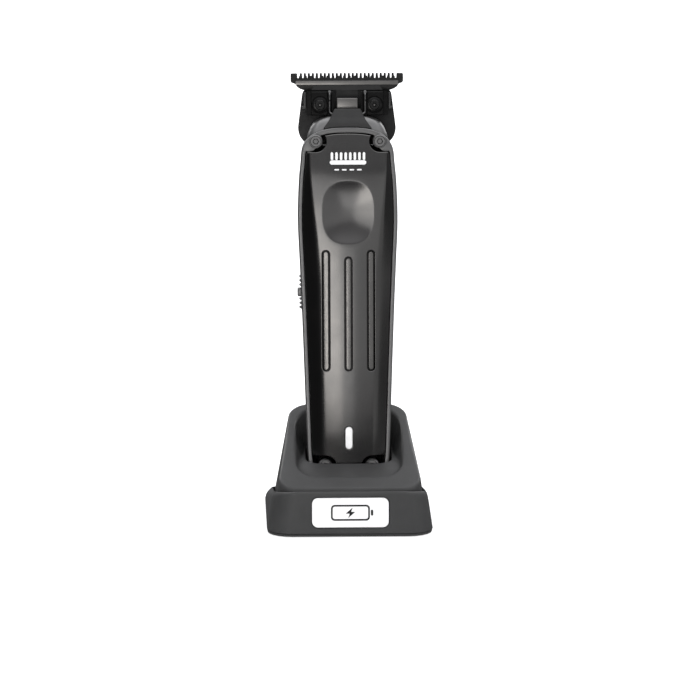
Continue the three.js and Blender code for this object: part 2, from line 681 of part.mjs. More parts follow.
function outwardCopy(geometry) {
  const bare = geometry.clone();
  bare.deleteAttribute('normal');
  bare.deleteAttribute('uv');
  const merged = mergeVertices(bare, 1e-4);
  return outward(merged, Array.from(merged.index.array));
}

// Row of teeth on a blade's upper edge, as outline points from right to left.
function teethOutline({ count, pitch, width, root, tip }) {
  const points = [];
  for (let k = 0; k < count; k++) {
    const middle = ((count - 1) / 2 - k) * pitch;
    points.push([middle + width / 2, root], [middle + width / 4, tip]);
    points.push([middle - width / 4, tip], [middle - width / 2, root]);
  }
  return points;
}

function addBlades() {
  const flip = (list) => list.map(([x, z]) => [-x, z]).reverse();
  const { fixed, moving, follower, screw } = BLADE;
  const ear = [
    [0, 146.4], [14.4, 146.4], [15.4, 155.4], [18.6, 157], [21.2, 159.1], [22.4, 160.2], [22.55, 161.2],
    [22.4, TEETH.tip - 0.1], [20.6, TEETH.tip], [20.1, TEETH.root],
  ];
  const combOutline = [...ear, ...teethOutline(TEETH), ...flip(ear.slice(1))];
  const holes = [-1, 1].map((side) => barY(screw.holeRadius, [0, 9], side * screw.x, screw.z, 14));
  addPiece(trimmer, 'fixed_blade', cut(plateXZ(combOutline, fixed), holes), 'blade');

  const stem = [
    [0, 148.9], [4.5, 148.9], [4.5, 155.9], [17.6, 155.9], [19.8, 157], [20.6, 158.5], [20.6, CUTTERS.root],
  ];
  const cutterOutline = [...stem, ...teethOutline(CUTTERS), ...flip(stem.slice(1))];
  addPiece(trimmer, 'moving_blade', plateXZ(cutterOutline, moving), 'steel');

  const room = DRIVE.pinRadius + DRIVE.pinPlay;
  const block = box(spread(FOLLOWER.halfWidth), follower, FOLLOWER.height);
  const slot = box(spread(2 * DRIVE.throw + room), [DRIVE.axis - DRIVE.throw - room, follower[1] + 1],
    [FOLLOWER.height[0] - 1, FOLLOWER.slotTop]);
  addPiece(trimmer, 'cam_follower', cut(block, [slot]), 'steel');
}

function addRotor() {
  const shaft = barZ(MOTOR.shaftRadius, [MOTOR.top + GAP, DRIVE.cam[0] - GAP], 0, DRIVE.axis, 16);
  addPiece(trimmer, 'motor_shaft', shaft, 'steel');
  const disc = barZ(DRIVE.camRadius, DRIVE.cam, 0, DRIVE.axis, 24);
  const pin = barZ(DRIVE.pinRadius, [DRIVE.cam[1] - 0.5, DRIVE.pinTop], 0, DRIVE.axis - DRIVE.throw, 16);
  addPiece(trimmer, 'eccentric_cam', join([disc, pin]), 'steel');
}

// ---- stand -------------------------------------------------------------------------------

function skirtHalfWidth(z) {
  return 33.3 - 0.124 * z;
}

function towerHalfWidth(z) {
  return Math.min(29.1 - 0.262 * (z - 19), 29.4);
}

function towerBack(z) {
  return 33 - 0.4167 * (z - 8);
}

// Everything above or below a plane that tilts about X, through a point given in Y and Z.
function halfSpace(y, z, slope, above) {
  const size = 200;
  const slab = new THREE.BoxGeometry(size, size, size).translate(0, 0, above ? size / 2 : -size / 2);
  return slab.rotateX(slope).translate(0, y, z);
}

function towerBlock(grow, sink) {
  const block = riser([3, 12, 19, 30, 46].map((z) => ({
    z: z,
    halfWidth: towerHalfWidth(z) + grow,
    front: TOWER.front - grow,
    back: towerBack(z) + grow,
    radius: TOWER.corner + grow,
  })));
  const aboveRim = halfSpace(TOWER.front, TOWER.frontTop - sink, TOWER.rimSlope, true);
  return cut(block, [aboveRim]);
}

function bayBlock(grow) {
  const well = riser([14, 26, 41, 70].map((z) => ({
    z: z,
    halfWidth: BAY.halfWidth + grow,
    front: BAY.front - grow,
    back: BAY.back + BAY.lean * (z - BAY.leanFrom) + grow,
    radius: BAY.corner + grow,
  })));
  const breakHeight = BAY.lipHeight + BAY.floorSlope * (BAY.floorBreak - BAY.front);
  const frontFloor = halfSpace(BAY.front, BAY.lipHeight - grow, Math.atan(BAY.floorSlope), false);
  const backFloor = halfSpace(BAY.floorBreak, breakHeight - grow, Math.atan(BAY.backFloorSlope), false);
  return cut(well, [common(frontFloor, backFloor)]);
}

function socketBlock(grow) {
  const well = riser([SOCKET.floor - grow, 6, 13].map((z) => ({
    z: z,
    halfWidth: SOCKET.halfWidth + SOCKET.draft * z + grow,
    front: SOCKET.front - grow - SOCKET.draft * z,
    back: SOCKET.back + grow + SOCKET.draft * z,
    radius: SOCKET.corner + grow,
  })));
  return well.rotateX(-LEAN).translate(...SEAT);
}

function turned(geometry) {
  return geometry.rotateX(-LEAN).translate(...SEAT);
}

function screwPosts(places, top) {
  return places.map(([x, y]) => barZ(POST.radius, [POST.bottom, top], x, y));
}

function screwBores(places) {
  return places.map(([x, y]) => barZ(POST.holeRadius, [PLATE.bottom, POST.holeTop], x, y, 12));
}

function makeTower() {
  const { wall } = TOWER;
  const outer = towerBlock(0, 0);
  const shell = cut(outer, [towerBlock(-wall, wall * 1.1)]);
  const wells = common(join([bayBlock(1.8), socketBlock(1.8)]), outer);
  const posts = screwPosts(TOWER_SCREWS, 12);
  const underside = halfSpace(TOWER.front, SKIRT.frontTop - 2.8, -SKIRT.topFall, false);
  const openUnderside = cut(underside, posts);
  const pinHoles = [-CHARGE_X, CHARGE_X].map((x) => turned(barZ(1.3, [-6, 3], x, DRIVE.axis, 16)));
  const inletHole = box(spread(PORT.halfWidth + GAP), [27, 40], spread(PORT.halfHeight + GAP, INLET.z));
  const solid = join([shell, wells, ...posts]);
  return cut(solid, [
    openUnderside, bayBlock(0), socketBlock(0), ...screwBores(TOWER_SCREWS), ...pinHoles, inletHole,
  ]);
}

function skirtBlock(inset) {
  const top = SKIRT.frontTop + 3;
  return riser([SKIRT.bottom, top].map((z) => ({
    z: z,
    halfWidth: skirtHalfWidth(z) - inset,
    front: -SKIRT.halfDepth + 0.081 * (z - SKIRT.bottom) + inset,
    back: SKIRT.halfDepth - 0.081 * (z - SKIRT.bottom) - inset,
    radius: SKIRT.corner - inset / 2,
  })));
}

function makeSkirt() {
  const aboveTop = halfSpace(-35.5, SKIRT.frontTop, -SKIRT.topFall, true);
  const outer = cut(skirtBlock(0), [aboveTop]);
  const posts = screwPosts(SKIRT_SCREWS, 13);
  const belowTower = halfSpace(TOWER.front, SKIRT.frontTop - 3.4, -SKIRT.topFall, true);
  const roomBelow = cut(skirtBlock(SKIRT.wall), [belowTower]);
  const abovePlate = halfSpace(0, PLATE.top + GAP, 0, true);
  const roomForPlate = cut(skirtBlock(SKIRT.wall), [abovePlate]);
  const roomForTower = towerBlock(GAP, -GAP * 4);
  const bottomRoom = box([-40, 40], [-40, 40], [-5, SKIRT.bottom]);
  const shell = cut(outer, [roomBelow, roomForPlate, roomForTower, bottomRoom]);
  const badgePocket = badgeShape(GAP, 3);
  return cut(join([shell, ...posts]), [...screwBores(SKIRT_SCREWS), badgePocket]);
}

// Badge plate on the skirt's front face, which leans back a little.
function badgeShape(grow, thickness) {
  const { width, height, corner } = BADGE;
  const half = halfRectangle(width / 2 + grow, -height / 2 - grow, height / 2 + grow, corner + grow);
  const lean = Math.atan(0.081);
  const plate = plateXZ(mirroredOutline(half), [-thickness, grow]);
  return plate.rotateX(-lean).translate(0, -SKIRT.halfDepth + 0.081 * BADGE.z + 0.5, BADGE.z);
}

function makeBasePlate() {
  const level = (z, inset) => ({
    z: z,
    halfWidth: skirtHalfWidth(0) - inset,
    front: -SKIRT.halfDepth + inset,
    back: SKIRT.halfDepth - inset,
    radius: SKIRT.corner - inset / 2,
  });
  const plate = riser([level(PLATE.bottom, 0.5), level(PLATE.flangeTop, 0.3),
    level(PLATE.flangeTop + 0.01, 2.9), level(PLATE.top, 2.9)]);
  const holes = [...SKIRT_SCREWS, ...TOWER_SCREWS].flatMap(([x, y]) =>
    [barZ(1.7, [0, 5], x, y, 14), barZ(3, [0, 2], x, y)]);
  const footPockets = FEET.map(([x, y]) => barZ(4.3, [0, PLATE.flangeTop + 0.1], x, y, 24));
  return cut(plate, [...holes, ...footPockets]);
}

function addStand() {
  addPiece(group, 'stand_upper_housing', makeTower(), 'plastic');
  addPiece(group, 'stand_lower_housing', makeSkirt(), 'plastic');
  addPiece(group, 'stand_base_plate', makeBasePlate(), 'plastic');
  addPiece(group, 'badge_plate', badgeShape(0, BADGE.thickness), 'white');
  FEET.forEach(([x, y], i) => {
    const { radius, height, round } = FOOT;
    const profile = [[0, 0], [radius - round, 0], [radius, round], [radius, height], [0, height]];
    const points = profile.map(([r, z]) => new THREE.Vector2(r, z));
    const foot = new THREE.LatheGeometry(points, 24).rotateX(Math.PI / 2).scale(1, 1, -1);
    addPiece(group, `stand_foot_${i + 1}`, outwardCopy(foot).translate(x, y, height), 'rubber');
  });
  [...SKIRT_SCREWS, ...TOWER_SCREWS].forEach(([x, y], i) => {
    const screw = join([barZ(2.6, [0.8, 1.7], x, y), barZ(1.3, [1.5, 10], x, y, 12)]);
    addPiece(group, `base_screw_${i + 1}`, cut(screw, [barZ(1.1, [0, 1.2], x, y, 6)]), 'screw');
  });
}

function addStandInsides() {
  addPiece(group, 'ballast_plate', box([-21, 21], [-29.5, -9], [3.1, 6.4]), 'steel');
  addPiece(group, 'stand_pcb', box([-13, 13], [-7, 31], [6, 7.4]), 'board');
  const inlet = makePort(INLET.y[1] - INLET.y[0]).rotateZ(Math.PI).translate(0, INLET.y[1], INLET.z);
  addPiece(group, 'power_socket', inlet, 'steel');
  addChargePins();
}

// Two sprung pins under the socket's floor, in a block that guides them.
function addChargePins() {
  const top = SOCKET.floor - 1.8 - GAP;
  const block = box(spread(PIN_BLOCK.halfWidth), PIN_BLOCK.depth, [PIN_BLOCK.bottom, top]);
  const bores = [-CHARGE_X, CHARGE_X].map((x) => barZ(PIN.boreRadius, [-9, 0], x, DRIVE.axis, 16));
  addPiece(trimmer, 'charge_pin_holder', cut(block, bores), 'plastic');
  for (const [name, x] of [['charge_pin_left', -CHARGE_X], ['charge_pin_right', CHARGE_X]]) {
    const plunger = barZ(PIN.radius, [PIN.bottom, CONTACT.bottom - GAP], x, DRIVE.axis, 16);
    const collar = barZ(PIN.collarRadius, PIN.collar, x, DRIVE.axis, 16);
    addPiece(trimmer, name, join([plunger, collar]), 'gold');
  }
}

addShells();
addCoverTrim();
addInsides();
addSwitch();
addNeck();
addBracketAndClamp();
addBladeScrews();
addTensionSpring();
addBlades();
addRotor();
addStand();
addStandInsides();

export default group;
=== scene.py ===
import json
import math

import bmesh
import bpy
import numpy as np
from mathutils import Matrix, Vector
from mathutils.geometry import delaunay_2d_cdt
from mathutils.kdtree import KDTree


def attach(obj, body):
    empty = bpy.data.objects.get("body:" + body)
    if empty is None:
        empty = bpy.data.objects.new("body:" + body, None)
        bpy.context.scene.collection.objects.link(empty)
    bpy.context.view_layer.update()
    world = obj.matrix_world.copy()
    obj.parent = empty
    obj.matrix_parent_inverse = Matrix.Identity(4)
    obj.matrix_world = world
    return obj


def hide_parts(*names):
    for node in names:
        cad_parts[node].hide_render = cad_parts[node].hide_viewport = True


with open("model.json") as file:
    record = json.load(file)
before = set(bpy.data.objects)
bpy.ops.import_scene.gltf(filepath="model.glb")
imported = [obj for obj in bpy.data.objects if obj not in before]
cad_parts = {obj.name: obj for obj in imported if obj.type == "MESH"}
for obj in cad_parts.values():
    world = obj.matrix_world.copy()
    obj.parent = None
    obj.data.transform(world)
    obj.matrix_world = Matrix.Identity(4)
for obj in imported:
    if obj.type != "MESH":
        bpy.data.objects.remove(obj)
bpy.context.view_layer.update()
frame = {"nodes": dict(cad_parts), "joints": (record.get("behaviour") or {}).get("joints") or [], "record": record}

# Cordless T-blade trimmer standing in its charging stand. Shapes are drawn in millimetres: the
# trimmer's in its own upright frame (X right, Y back, Z from its lower end to the blade), and the
# stand's in the row frame. Each piece's place matrix turns them into metres in the row frame.

MM = 0.001
JOINTS = {joint["name"]: joint for joint in frame["joints"]}
LEAN = math.atan2(JOINTS["lift_out"]["axis"][1], JOINTS["lift_out"]["axis"][2])
AXIS_DEPTH = 0.4  # the motor's axis lies this far behind the middle of the trimmer
BACKWARDS = Vector((0, math.cos(LEAN), -math.sin(LEAN)))
SEAT = Vector(JOINTS["rotor_spin"]["pos_m"]) / MM - AXIS_DEPTH * BACKWARDS
STAND = Matrix.Scale(MM, 4)
LEANING = Matrix.Translation(SEAT) @ Matrix.Rotation(-LEAN, 4, "X")
TRIMMER = STAND @ LEANING

# ---- driving dimensions, in millimetres -------------------------------------------------------

BODY_SIDE = [(0, 16.1), (31.5, 17.1), (68.3, 18.4), (88.3, 19.25), (104.3, 19.9), (120.3, 19.4),
             (128.3, 18.6)]
BODY_SHOULDER = 128.3
BODY_TOP = 141.4
ARCH_POWER = 2.65
BODY_CORNER = 6

RIM = {"front": -7, "back": 3, "side": 1.6, "top": 2.3, "bottom": 3, "edge": 0.5, "inner_edge": 0.25}
SCREW_PLACES = [(12.8, 135.8), (-12.8, 135.8), (9.3, 5.8), (-9.3, 5.8)]
SCREW_SEAT_RADIUS = 2.9
SCREW_WEB = {"x": 15.2, "z": 134.2, "radius": 2.7}  # fills the frame outside the upper screws

COVER = {"gap": 0.22, "bottom": 3.4, "edge_depth": -7.6, "wall": 2.2, "notch": 4.25, "edge": 0.3,
         "flank_top": 134}
CROWN = [(0, -11.0), (20, -12.2), (60, -12.6), (108, -12.5), (122, -11.9), (131, -10.9), (138.7, -9.9)]
CREASE = [(0, 10.3), (32, 10.8), (64, 11.5), (80, 11.9), (96, 13.0), (114, 14.7), (122, 15.3), (138.7, 15.7)]
PANEL_BOW = 1.1
CREASE_BLEND = 0.5
DISH = {"z": 107.7, "half_width": 10.3, "half_height": 12.7, "depth": 1.7, "power": 2.6,
        "blend": 0.12}
SLOT = {"pitch": 9, "width": 3.1, "bottom": 44, "top": 92.4, "centre_top": 89.8, "bar_width": 1.9}
LIGHT = {"width": 3.0, "bottom": 12.7, "top": 21.8}

REAR_DEPTH = [(0, 10.6), (15, 12.3), (45, 14.2), (80, 15.5), (104, 15.2), (120, 13), (128, 10.6),
              (134, 7.4), (141.4, 6.6)]
REAR = {"front": 3.3, "wall": 1.8, "reach": 15, "drawn": 0.93, "power": 2.7, "seat_top": 133.82,
        "seat_depth": 4.9}

# Where a wall leans, its place is given at one height, such as half_width at the height width_z.
TOWER = {"front": -33.5, "rim_start": 19.2, "rim_slope": math.tan(math.radians(24.4)), "corner": 8,
         "half_width": 29.1, "width_z": 19, "side_lean": 0.262, "widest": 29.4,
         "back": 33, "back_z": 8, "back_lean": 0.4167, "tuck": 2.8, "lowest": 3.0}
BAY = {"front": -27, "half_width": 21.2, "back": 13, "back_z": 26, "lean": 0.176, "lip": 22.2, "slope": 0.294,
       "break": -15.2, "back_slope": 0.055, "corner": 10, "funnel": 0.4, "closing": 3.4}
SOCKET = {"floor": -0.8, "front": -12.6, "back": 12.4, "half_width": 16.6, "draft": 0.06, "corner": 6}
SKIRT = {"half_depth": 37, "draft": 0.081, "half_width": 33.3, "side_draft": 0.124, "corner": 10,
         "bottom": 1.6, "top": 18.5, "top_y": -35.5, "top_fall": math.tan(math.radians(11)),
         "side_drop": 2.4, "gap": 0.7, "wall": 1.6}
STAND_WALL = 1.8
CONTACT_PLACES = (-8, 8)  # across the trimmer, of its charging contacts and the stand's pins
BADGE = {"width": 30.6, "height": 11.9, "z": 10, "corner": 2.4}


# ---- outlines ---------------------------------------------------------------------------------

def curve_through(knots, at):
    """Smooth curve through (place, value) knots, at one place or an array of places."""
    places, values = np.array(knots, float).T
    ahead = np.minimum(np.arange(len(places)) + 1, len(places) - 1)
    behind = np.maximum(np.arange(len(places)) - 1, 0)
    slopes = (values[ahead] - values[behind]) / (places[ahead] - places[behind])
    at = np.clip(at, places[0], places[-1])
    i = np.clip(np.searchsorted(places, at, side="right") - 1, 0, len(places) - 2)
    span = places[i + 1] - places[i]
    t = (at - places[i]) / span
    rise = t * t * (3 - 2 * t)
    bend = span * (slopes[i] * t * (1 - t) ** 2 - slopes[i + 1] * t * t * (1 - t))
    return values[i] * (1 - rise) + values[i + 1] * rise + bend


def arc(centre, radius, start, end, steps=16):
    angles = np.radians(np.linspace(start, end, steps + 1))
    return [(centre[0] + radius * math.cos(a), centre[1] + radius * math.sin(a)) for a in angles]


def mirrored(half):
    """Whole outline from its right half, which runs from the lower middle to the upper middle."""
    half = [tuple(p) for p in half]
    left = [(-x, z) for x, z in reversed(half) if x > 1e-6]
    return np.array(half + left)


def resample(loop, count):
    closed = np.vstack([loop, loop[:1]])
    along = np.r_[0, np.cumsum(np.linalg.norm(np.diff(closed, axis=0), axis=1))]
    at = np.linspace(0, along[-1], count, endpoint=False)
    return np.stack([np.interp(at, along, closed[:, k]) for k in range(closed.shape[1])], axis=1)


def perimeter(loop):
    return float(np.linalg.norm(np.diff(np.vstack([loop, loop[:1]]), axis=0), axis=1).sum())


def evenly(loop, spacing, least=12):
    """The outline with points about this far apart."""
    return resample(loop, max(int(perimeter(loop) / spacing), least))


def soften(loop, radius, spacing=0.4):
    """The outline evenly spaced, with its corners rounded by about this radius."""
    even = evenly(loop, spacing, 16)
    reach = int(3 * radius / spacing) + 1
    offsets = np.arange(-reach, reach + 1)
    weights = np.exp(-0.5 * (offsets * spacing / radius) ** 2)
    weights /= weights.sum()
    return sum(w * np.roll(even, k, axis=0) for w, k in zip(weights, offsets))


def inward_normals(loop):
    tangent = np.roll(loop, -1, axis=0) - np.roll(loop, 1, axis=0)
    tangent /= np.maximum(np.linalg.norm(tangent, axis=1), 1e-9)[:, None]
    return np.stack([-tangent[:, 1], tangent[:, 0]], axis=1)


def inside(loop, points):
    """Which of the points lie inside the closed outline."""
    x, z = points[:, 0], points[:, 1]
    found = np.zeros(len(points), bool)
    ends = np.roll(loop, -1, axis=0)
    for (ax, az), (bx, bz) in zip(loop, ends):
        crosses = (az > z) != (bz > z)
        if crosses.any():
            at = ax + (z - az) / (bz - az + 1e-12) * (bx - ax)
            found ^= crosses & (x < at)
    return found


def bitten(loop, centre, radius):
    """The outline with a disc on its edge taken out of the area that it encloses."""
    centre = np.array(centre, float)
    away = np.linalg.norm(loop - centre, axis=1)
    start = int(np.argmax(away < radius)) if away[0] >= radius else 0
    turned = np.roll(loop, -start, axis=0)
    hidden = np.linalg.norm(turned - centre, axis=1) < radius
    kept = turned[~hidden]
    first, last = kept[-1] - centre, kept[0] - centre
    a, b = math.atan2(first[1], first[0]), math.atan2(last[1], last[0])
    options = [b - a + turn for turn in (-2 * math.pi, 0, 2 * math.pi)]
    sweeps = [s for s in options if abs(s) < 2 * math.pi]
    middle = [centre + radius * np.array([math.cos(a + s / 2), math.sin(a + s / 2)]) for s in sweeps]
    within = inside(loop, np.array(middle))
    sweep = next(s for s, ok in zip(sweeps, within) if ok)
    angles = a + sweep * np.linspace(0, 1, 24)
    bite = centre + radius * np.stack([np.cos(angles), np.sin(angles)], axis=1)
    return np.vstack([kept, bite])


def stadium(x, width, bottom, top, steps=12):
    radius = width / 2
    lower = arc((x, bottom + radius), radius, 180, 360, steps)
    upper = arc((x, top - radius), radius, 0, 180, steps)
    return np.array(lower + upper)


def round_box(width, height, corner, centre=(0, 0)):
    x, z = width / 2 - corner, height / 2 - corner
    points = []
    for (sx, sz), start in zip(((1, -1), (1, 1), (-1, 1), (-1, -1)), (-90, 0, 90, 180)):
        points += arc((centre[0] + sx * x, centre[1] + sz * z), corner, start, start + 90, 8)
    return np.array(points)


def body_half_width(z):
    rise = np.clip((z - BODY_SHOULDER) / (BODY_TOP - BODY_SHOULDER), 0, 1)
    arch = BODY_SIDE[-1][1] * (1 - rise ** ARCH_POWER) ** (1 / ARCH_POWER)
    return np.where(z < BODY_SHOULDER, curve_through(BODY_SIDE, z), arch)


def body_loop(inset, top=None, bottom=None, power=ARCH_POWER, corner=BODY_CORNER):
    """The trimmer's outline moved inwards, from its lower middle round to the left."""
    top = inset if top is None else top
    bottom = inset if bottom is None else bottom
    radius = max(corner - inset, 1)
    side = float(curve_through(BODY_SIDE, 0)) - inset
    half = [(0, bottom), *arc((side - radius, bottom + radius), radius, -90, 0, 10)]
    for z in np.arange(12, BODY_SHOULDER - 1, 3):
        half.append((float(curve_through(BODY_SIDE, z)) - inset, z))
    width = BODY_SIDE[-1][1] - inset
    height = BODY_TOP - BODY_SHOULDER - top
    for angle in np.linspace(0, math.pi / 2, 30):
        bend = (max(math.cos(angle), 0) ** (2 / power), math.sin(angle) ** (2 / power))
        half.append((width * bend[0], BODY_SHOULDER + height * bend[1]))
    half[-1] = (0, BODY_SHOULDER + height)
    return soften(mirrored(half), 1.2, 0.5)


# ---- solids -----------------------------------------------------------------------------------

class Shape:
    """Points, faces and each face's material number, with a normal at each point if it has them."""

    def __init__(self, points=(), faces=(), looks=None, normals=None):
        self.points = [tuple(p) for p in points]
        self.faces = [tuple(f) for f in faces]
        self.looks = list(looks) if looks is not None else [0] * len(self.faces)
        self.normals = normals

    def __add__(self, other):
        base = len(self.points)
        faces = self.faces + [tuple(i + base for i in face) for face in other.faces]
        return Shape(self.points + other.points, faces, self.looks + other.looks)

    def painted(self, look):
        return Shape(self.points, self.faces, [look] * len(self.faces), self.normals)

    def moved(self, matrix):
        return Shape([matrix @ Vector(p) for p in self.points], self.faces, self.looks)


CLOSEST = 0.2  # extra points nearer than this to an outline are left out


def depth_function(depth):
    if callable(depth):
        return depth
    return lambda x, z: np.full(np.shape(x), float(depth))


def surface_normals(depth, x, z, facing):
    step = 0.02
    dx = (depth(x + step, z) - depth(x - step, z)) / (2 * step)
    dz = (depth(x, z + step) - depth(x, z - step)) / (2 * step)
    normal = np.stack([-facing * dx, np.full(np.shape(x), facing), -facing * dz], axis=1)
    return normal / np.linalg.norm(normal, axis=1)[:, None]


def between(loops, points):
    """Which of the points lie inside the first loop, the outline, and outside the others, its holes."""
    found = inside(loops[0], points)
    for hole in loops[1:]:
        found &= ~inside(hole, points)
    return found


def clear_points(loops, points):
    """The points that lie between an outline and its holes, and not too close to either."""
    rims = np.vstack(loops)
    tree = KDTree(len(rims))
    for i, (x, z) in enumerate(rims):
        tree.insert((x, z, 0), i)
    tree.balance()
    far = [tree.find((x, z, 0))[2] > CLOSEST for x, z in points]
    return points[between(loops, points) & np.array(far)]


def fill_between(loops, extra):
    """Triangles between an outline and its holes, with extra points inside."""
    edges, total = [], 0
    for loop in loops:
        count = len(loop)
        edges += [(total + i, total + (i + 1) % count) for i in range(count)]
        total += count
    flat = np.vstack(loops)
    if extra is not None and len(extra):
        flat = np.vstack([flat, clear_points(loops, extra)])
    made = delaunay_2d_cdt([Vector(p) for p in flat], edges, [], 0, 1e-5)
    points = np.array([tuple(p) for p in made[0]])
    source = [ids[0] if ids else -1 for ids in made[3]]
    triangles = np.array([tuple(f) for f in made[2]])
    keep = between(loops, points[triangles].mean(axis=1))
    return points, source, triangles[keep], total


def add_wall(made, loop, inward, sections):
    """Adds a plate's rings round one outline. Gives its first and last ring, each with its start."""
    points, normals, faces = made
    count = len(loop)
    side = np.stack([-inward[:, 0], np.zeros(count), -inward[:, 1]], axis=1)
    rings = []
    for radius, depth, facing, angle in sections:
        ring = loop + inward * radius * (1 - math.cos(angle))
        y = depth(ring[:, 0], ring[:, 1]) - facing * radius * (1 - math.sin(angle))
        flat = surface_normals(depth, ring[:, 0], ring[:, 1], facing)
        start = len(points)
        points += [(x, d, z) for (x, z), d in zip(ring, y)]
        normals += list(side * math.cos(angle) + flat * math.sin(angle))
        if rings:
            below = start - count
            faces += [(below + i, below + (i + 1) % count, start + (i + 1) % count, start + i)
                      for i in range(count)]
        rings.append((ring, start))
    return rings[0], rings[-1]


def add_face(made, rims, depth, facing, extra):
    """Adds the triangles of a plate's front or back, between its rims."""
    points, normals, faces = made
    flat, source, triangles, rim_total = fill_between([ring for ring, _ in rims], extra)
    rim_index = np.concatenate([np.arange(start, start + len(ring)) for ring, start in rims])
    place = {}
    for i, (x, z) in enumerate(flat):
        if 0 <= source[i] < rim_total:
            place[i] = int(rim_index[source[i]])
            continue
        place[i] = len(points)
        at = (np.array([x]), np.array([z]))
        points.append((x, float(depth(*at)[0]), z))
        normals.append(surface_normals(depth, *at, facing)[0])
    faces += [tuple(place[i] for i in triangle) for triangle in triangles]


def plate(outline, front, back, holes=(), edge=0.3, back_edge=0.15, extra=None, back_extra=None, steps=4,
          hole_edge=None):
    """Closed plate that lies in X and Z. front and back are its depths, or functions of x and z."""
    front, back = depth_function(front), depth_function(back)
    made = ([], [], [])
    rims = []
    angles = np.linspace(0, math.pi / 2, steps + 1)
    for number, loop in enumerate([outline, *holes]):
        loop = np.asarray(loop, float)
        inward = inward_normals(loop) * (1 if number == 0 else -1)
        front_edge = edge if number == 0 or hole_edge is None else hole_edge
        sections = [(front_edge, front, -1, a) for a in angles[::-1]]
        sections += [(back_edge, back, 1, a) for a in angles]
        rims.append(add_wall(made, loop, inward, sections))
    front_rims, back_rims = zip(*rims)
    add_face(made, front_rims, front, -1, extra)
    add_face(made, back_rims, back, 1, back_extra)
    points, normals, faces = made
    return Shape(points, faces, normals=np.array(normals))


def loft(rings, caps=True, closed=False):
    """Solid through rings of points. A closed one joins its last ring to its first."""
    rings = [np.asarray(ring, float) for ring in rings]
    count = len(rings[0])
    faces = []
    for r in range(len(rings) if closed else len(rings) - 1):
        a, b = r * count, ((r + 1) % len(rings)) * count
        faces += [(a + i, a + (i + 1) % count, b + (i + 1) % count, b + i) for i in range(count)]
    if caps and not closed:
        faces.append(tuple(range(count)))
        faces.append(tuple((len(rings) - 1) * count + i for i in range(count)))
    return Shape(np.vstack(rings), faces)


def turned(profile, centre, axis="Y", count=48, closed=False):
    """Round solid from (radius, place along the axis) points. centre is in the two other axes."""
    angles = np.linspace(0, 2 * math.pi, count, endpoint=False)
    rings = []
    for radius, along in profile:
        a = centre[0] + radius * np.cos(angles)
        b = centre[1] + radius * np.sin(angles)
        c = np.full(count, float(along))
        rings.append(np.stack([a, c, b] if axis == "Y" else [a, b, c], axis=1))
    return loft(rings, closed=closed)


def block(x, y, z, bevel=0.2, segments=3):
    """Box with rounded edges."""
    mesh = bmesh.new()
    bmesh.ops.create_cube(mesh, size=1)
    sizes = [r[1] - r[0] for r in (x, y, z)]
    middle = [(r[0] + r[1]) / 2 for r in (x, y, z)]
    for vert in mesh.verts:
        vert.co = Vector([m + s * c for m, s, c in zip(middle, sizes, vert.co)])
    bmesh.ops.bevel(mesh, geom=mesh.edges[:], offset=bevel, segments=segments, affect="EDGES", profile=0.5)
    mesh.verts.index_update()
    made = Shape([v.co for v in mesh.verts], [[v.index for v in f.verts] for f in mesh.faces])
    mesh.free()
    return made


def side_block(side, near, far, y, z, bevel):
    """Block on the side -1 or 1, between two distances from the trimmer's middle."""
    return block(sorted((side * near, side * far)), y, z, bevel)


def wire(path, radius, sides=12):
    """Round wire along a path of points, with slightly domed ends."""
    path = np.asarray(path, float)
    tangents = np.gradient(path, axis=0)
    tangents /= np.linalg.norm(tangents, axis=1)[:, None]
    across = np.cross(tangents[0], (1.0, 0.3, 0.2))
    angles = np.linspace(0, 2 * math.pi, sides, endpoint=False)
    rings = []
    for place, tangent in zip(path, tangents):
        across = across - tangent * across.dot(tangent)
        across /= np.linalg.norm(across)
        other = np.cross(tangent, across)
        rings.append(place + radius * (np.outer(np.cos(angles), across) + np.outer(np.sin(angles), other)))
    start = (rings[0] - path[0]) * 0.6 + path[0] - tangents[0] * radius * 0.4
    end = (rings[-1] - path[-1]) * 0.6 + path[-1] + tangents[-1] * radius * 0.4
    return loft([start, *rings, end])


def smooth_path(points, per_span=8):
    """Catmull-Rom curve through the points."""
    points = np.asarray(points, float)
    ends = np.vstack([2 * points[0] - points[1], points, 2 * points[-1] - points[-2]])
    path = []
    for a, b, c, d in zip(ends, ends[1:], ends[2:], ends[3:]):
        for t in np.linspace(0, 1, per_span, endpoint=False):
            path.append(0.5 * (2 * b + (c - a) * t + (2 * a - 5 * b + 4 * c - d) * t * t
                               + (3 * b - a - 3 * c + d) * t ** 3))
    return np.vstack([path, points[-1:]])


def new_object(name, points, shape, finishes):
    """Object with the shape's faces, whose normals all point outwards."""
    mesh = bpy.data.meshes.new(name)
    mesh.from_pydata(points, [], shape.faces)
    for finish in finishes:
        mesh.materials.append(finish)
    mesh.polygons.foreach_set("material_index", shape.looks)
    work = bmesh.new()
    work.from_mesh(mesh)
    bmesh.ops.recalc_face_normals(work, faces=work.faces[:])
    work.to_mesh(mesh)
    work.free()
    item = bpy.data.objects.new(name, mesh)
    bpy.context.scene.collection.objects.link(item)
    return item


def temporary(shape):
    """Object for a boolean, with a slot for each of the two finishes that a cut can leave."""
    return new_object("tool", shape.points, shape, [None, None])


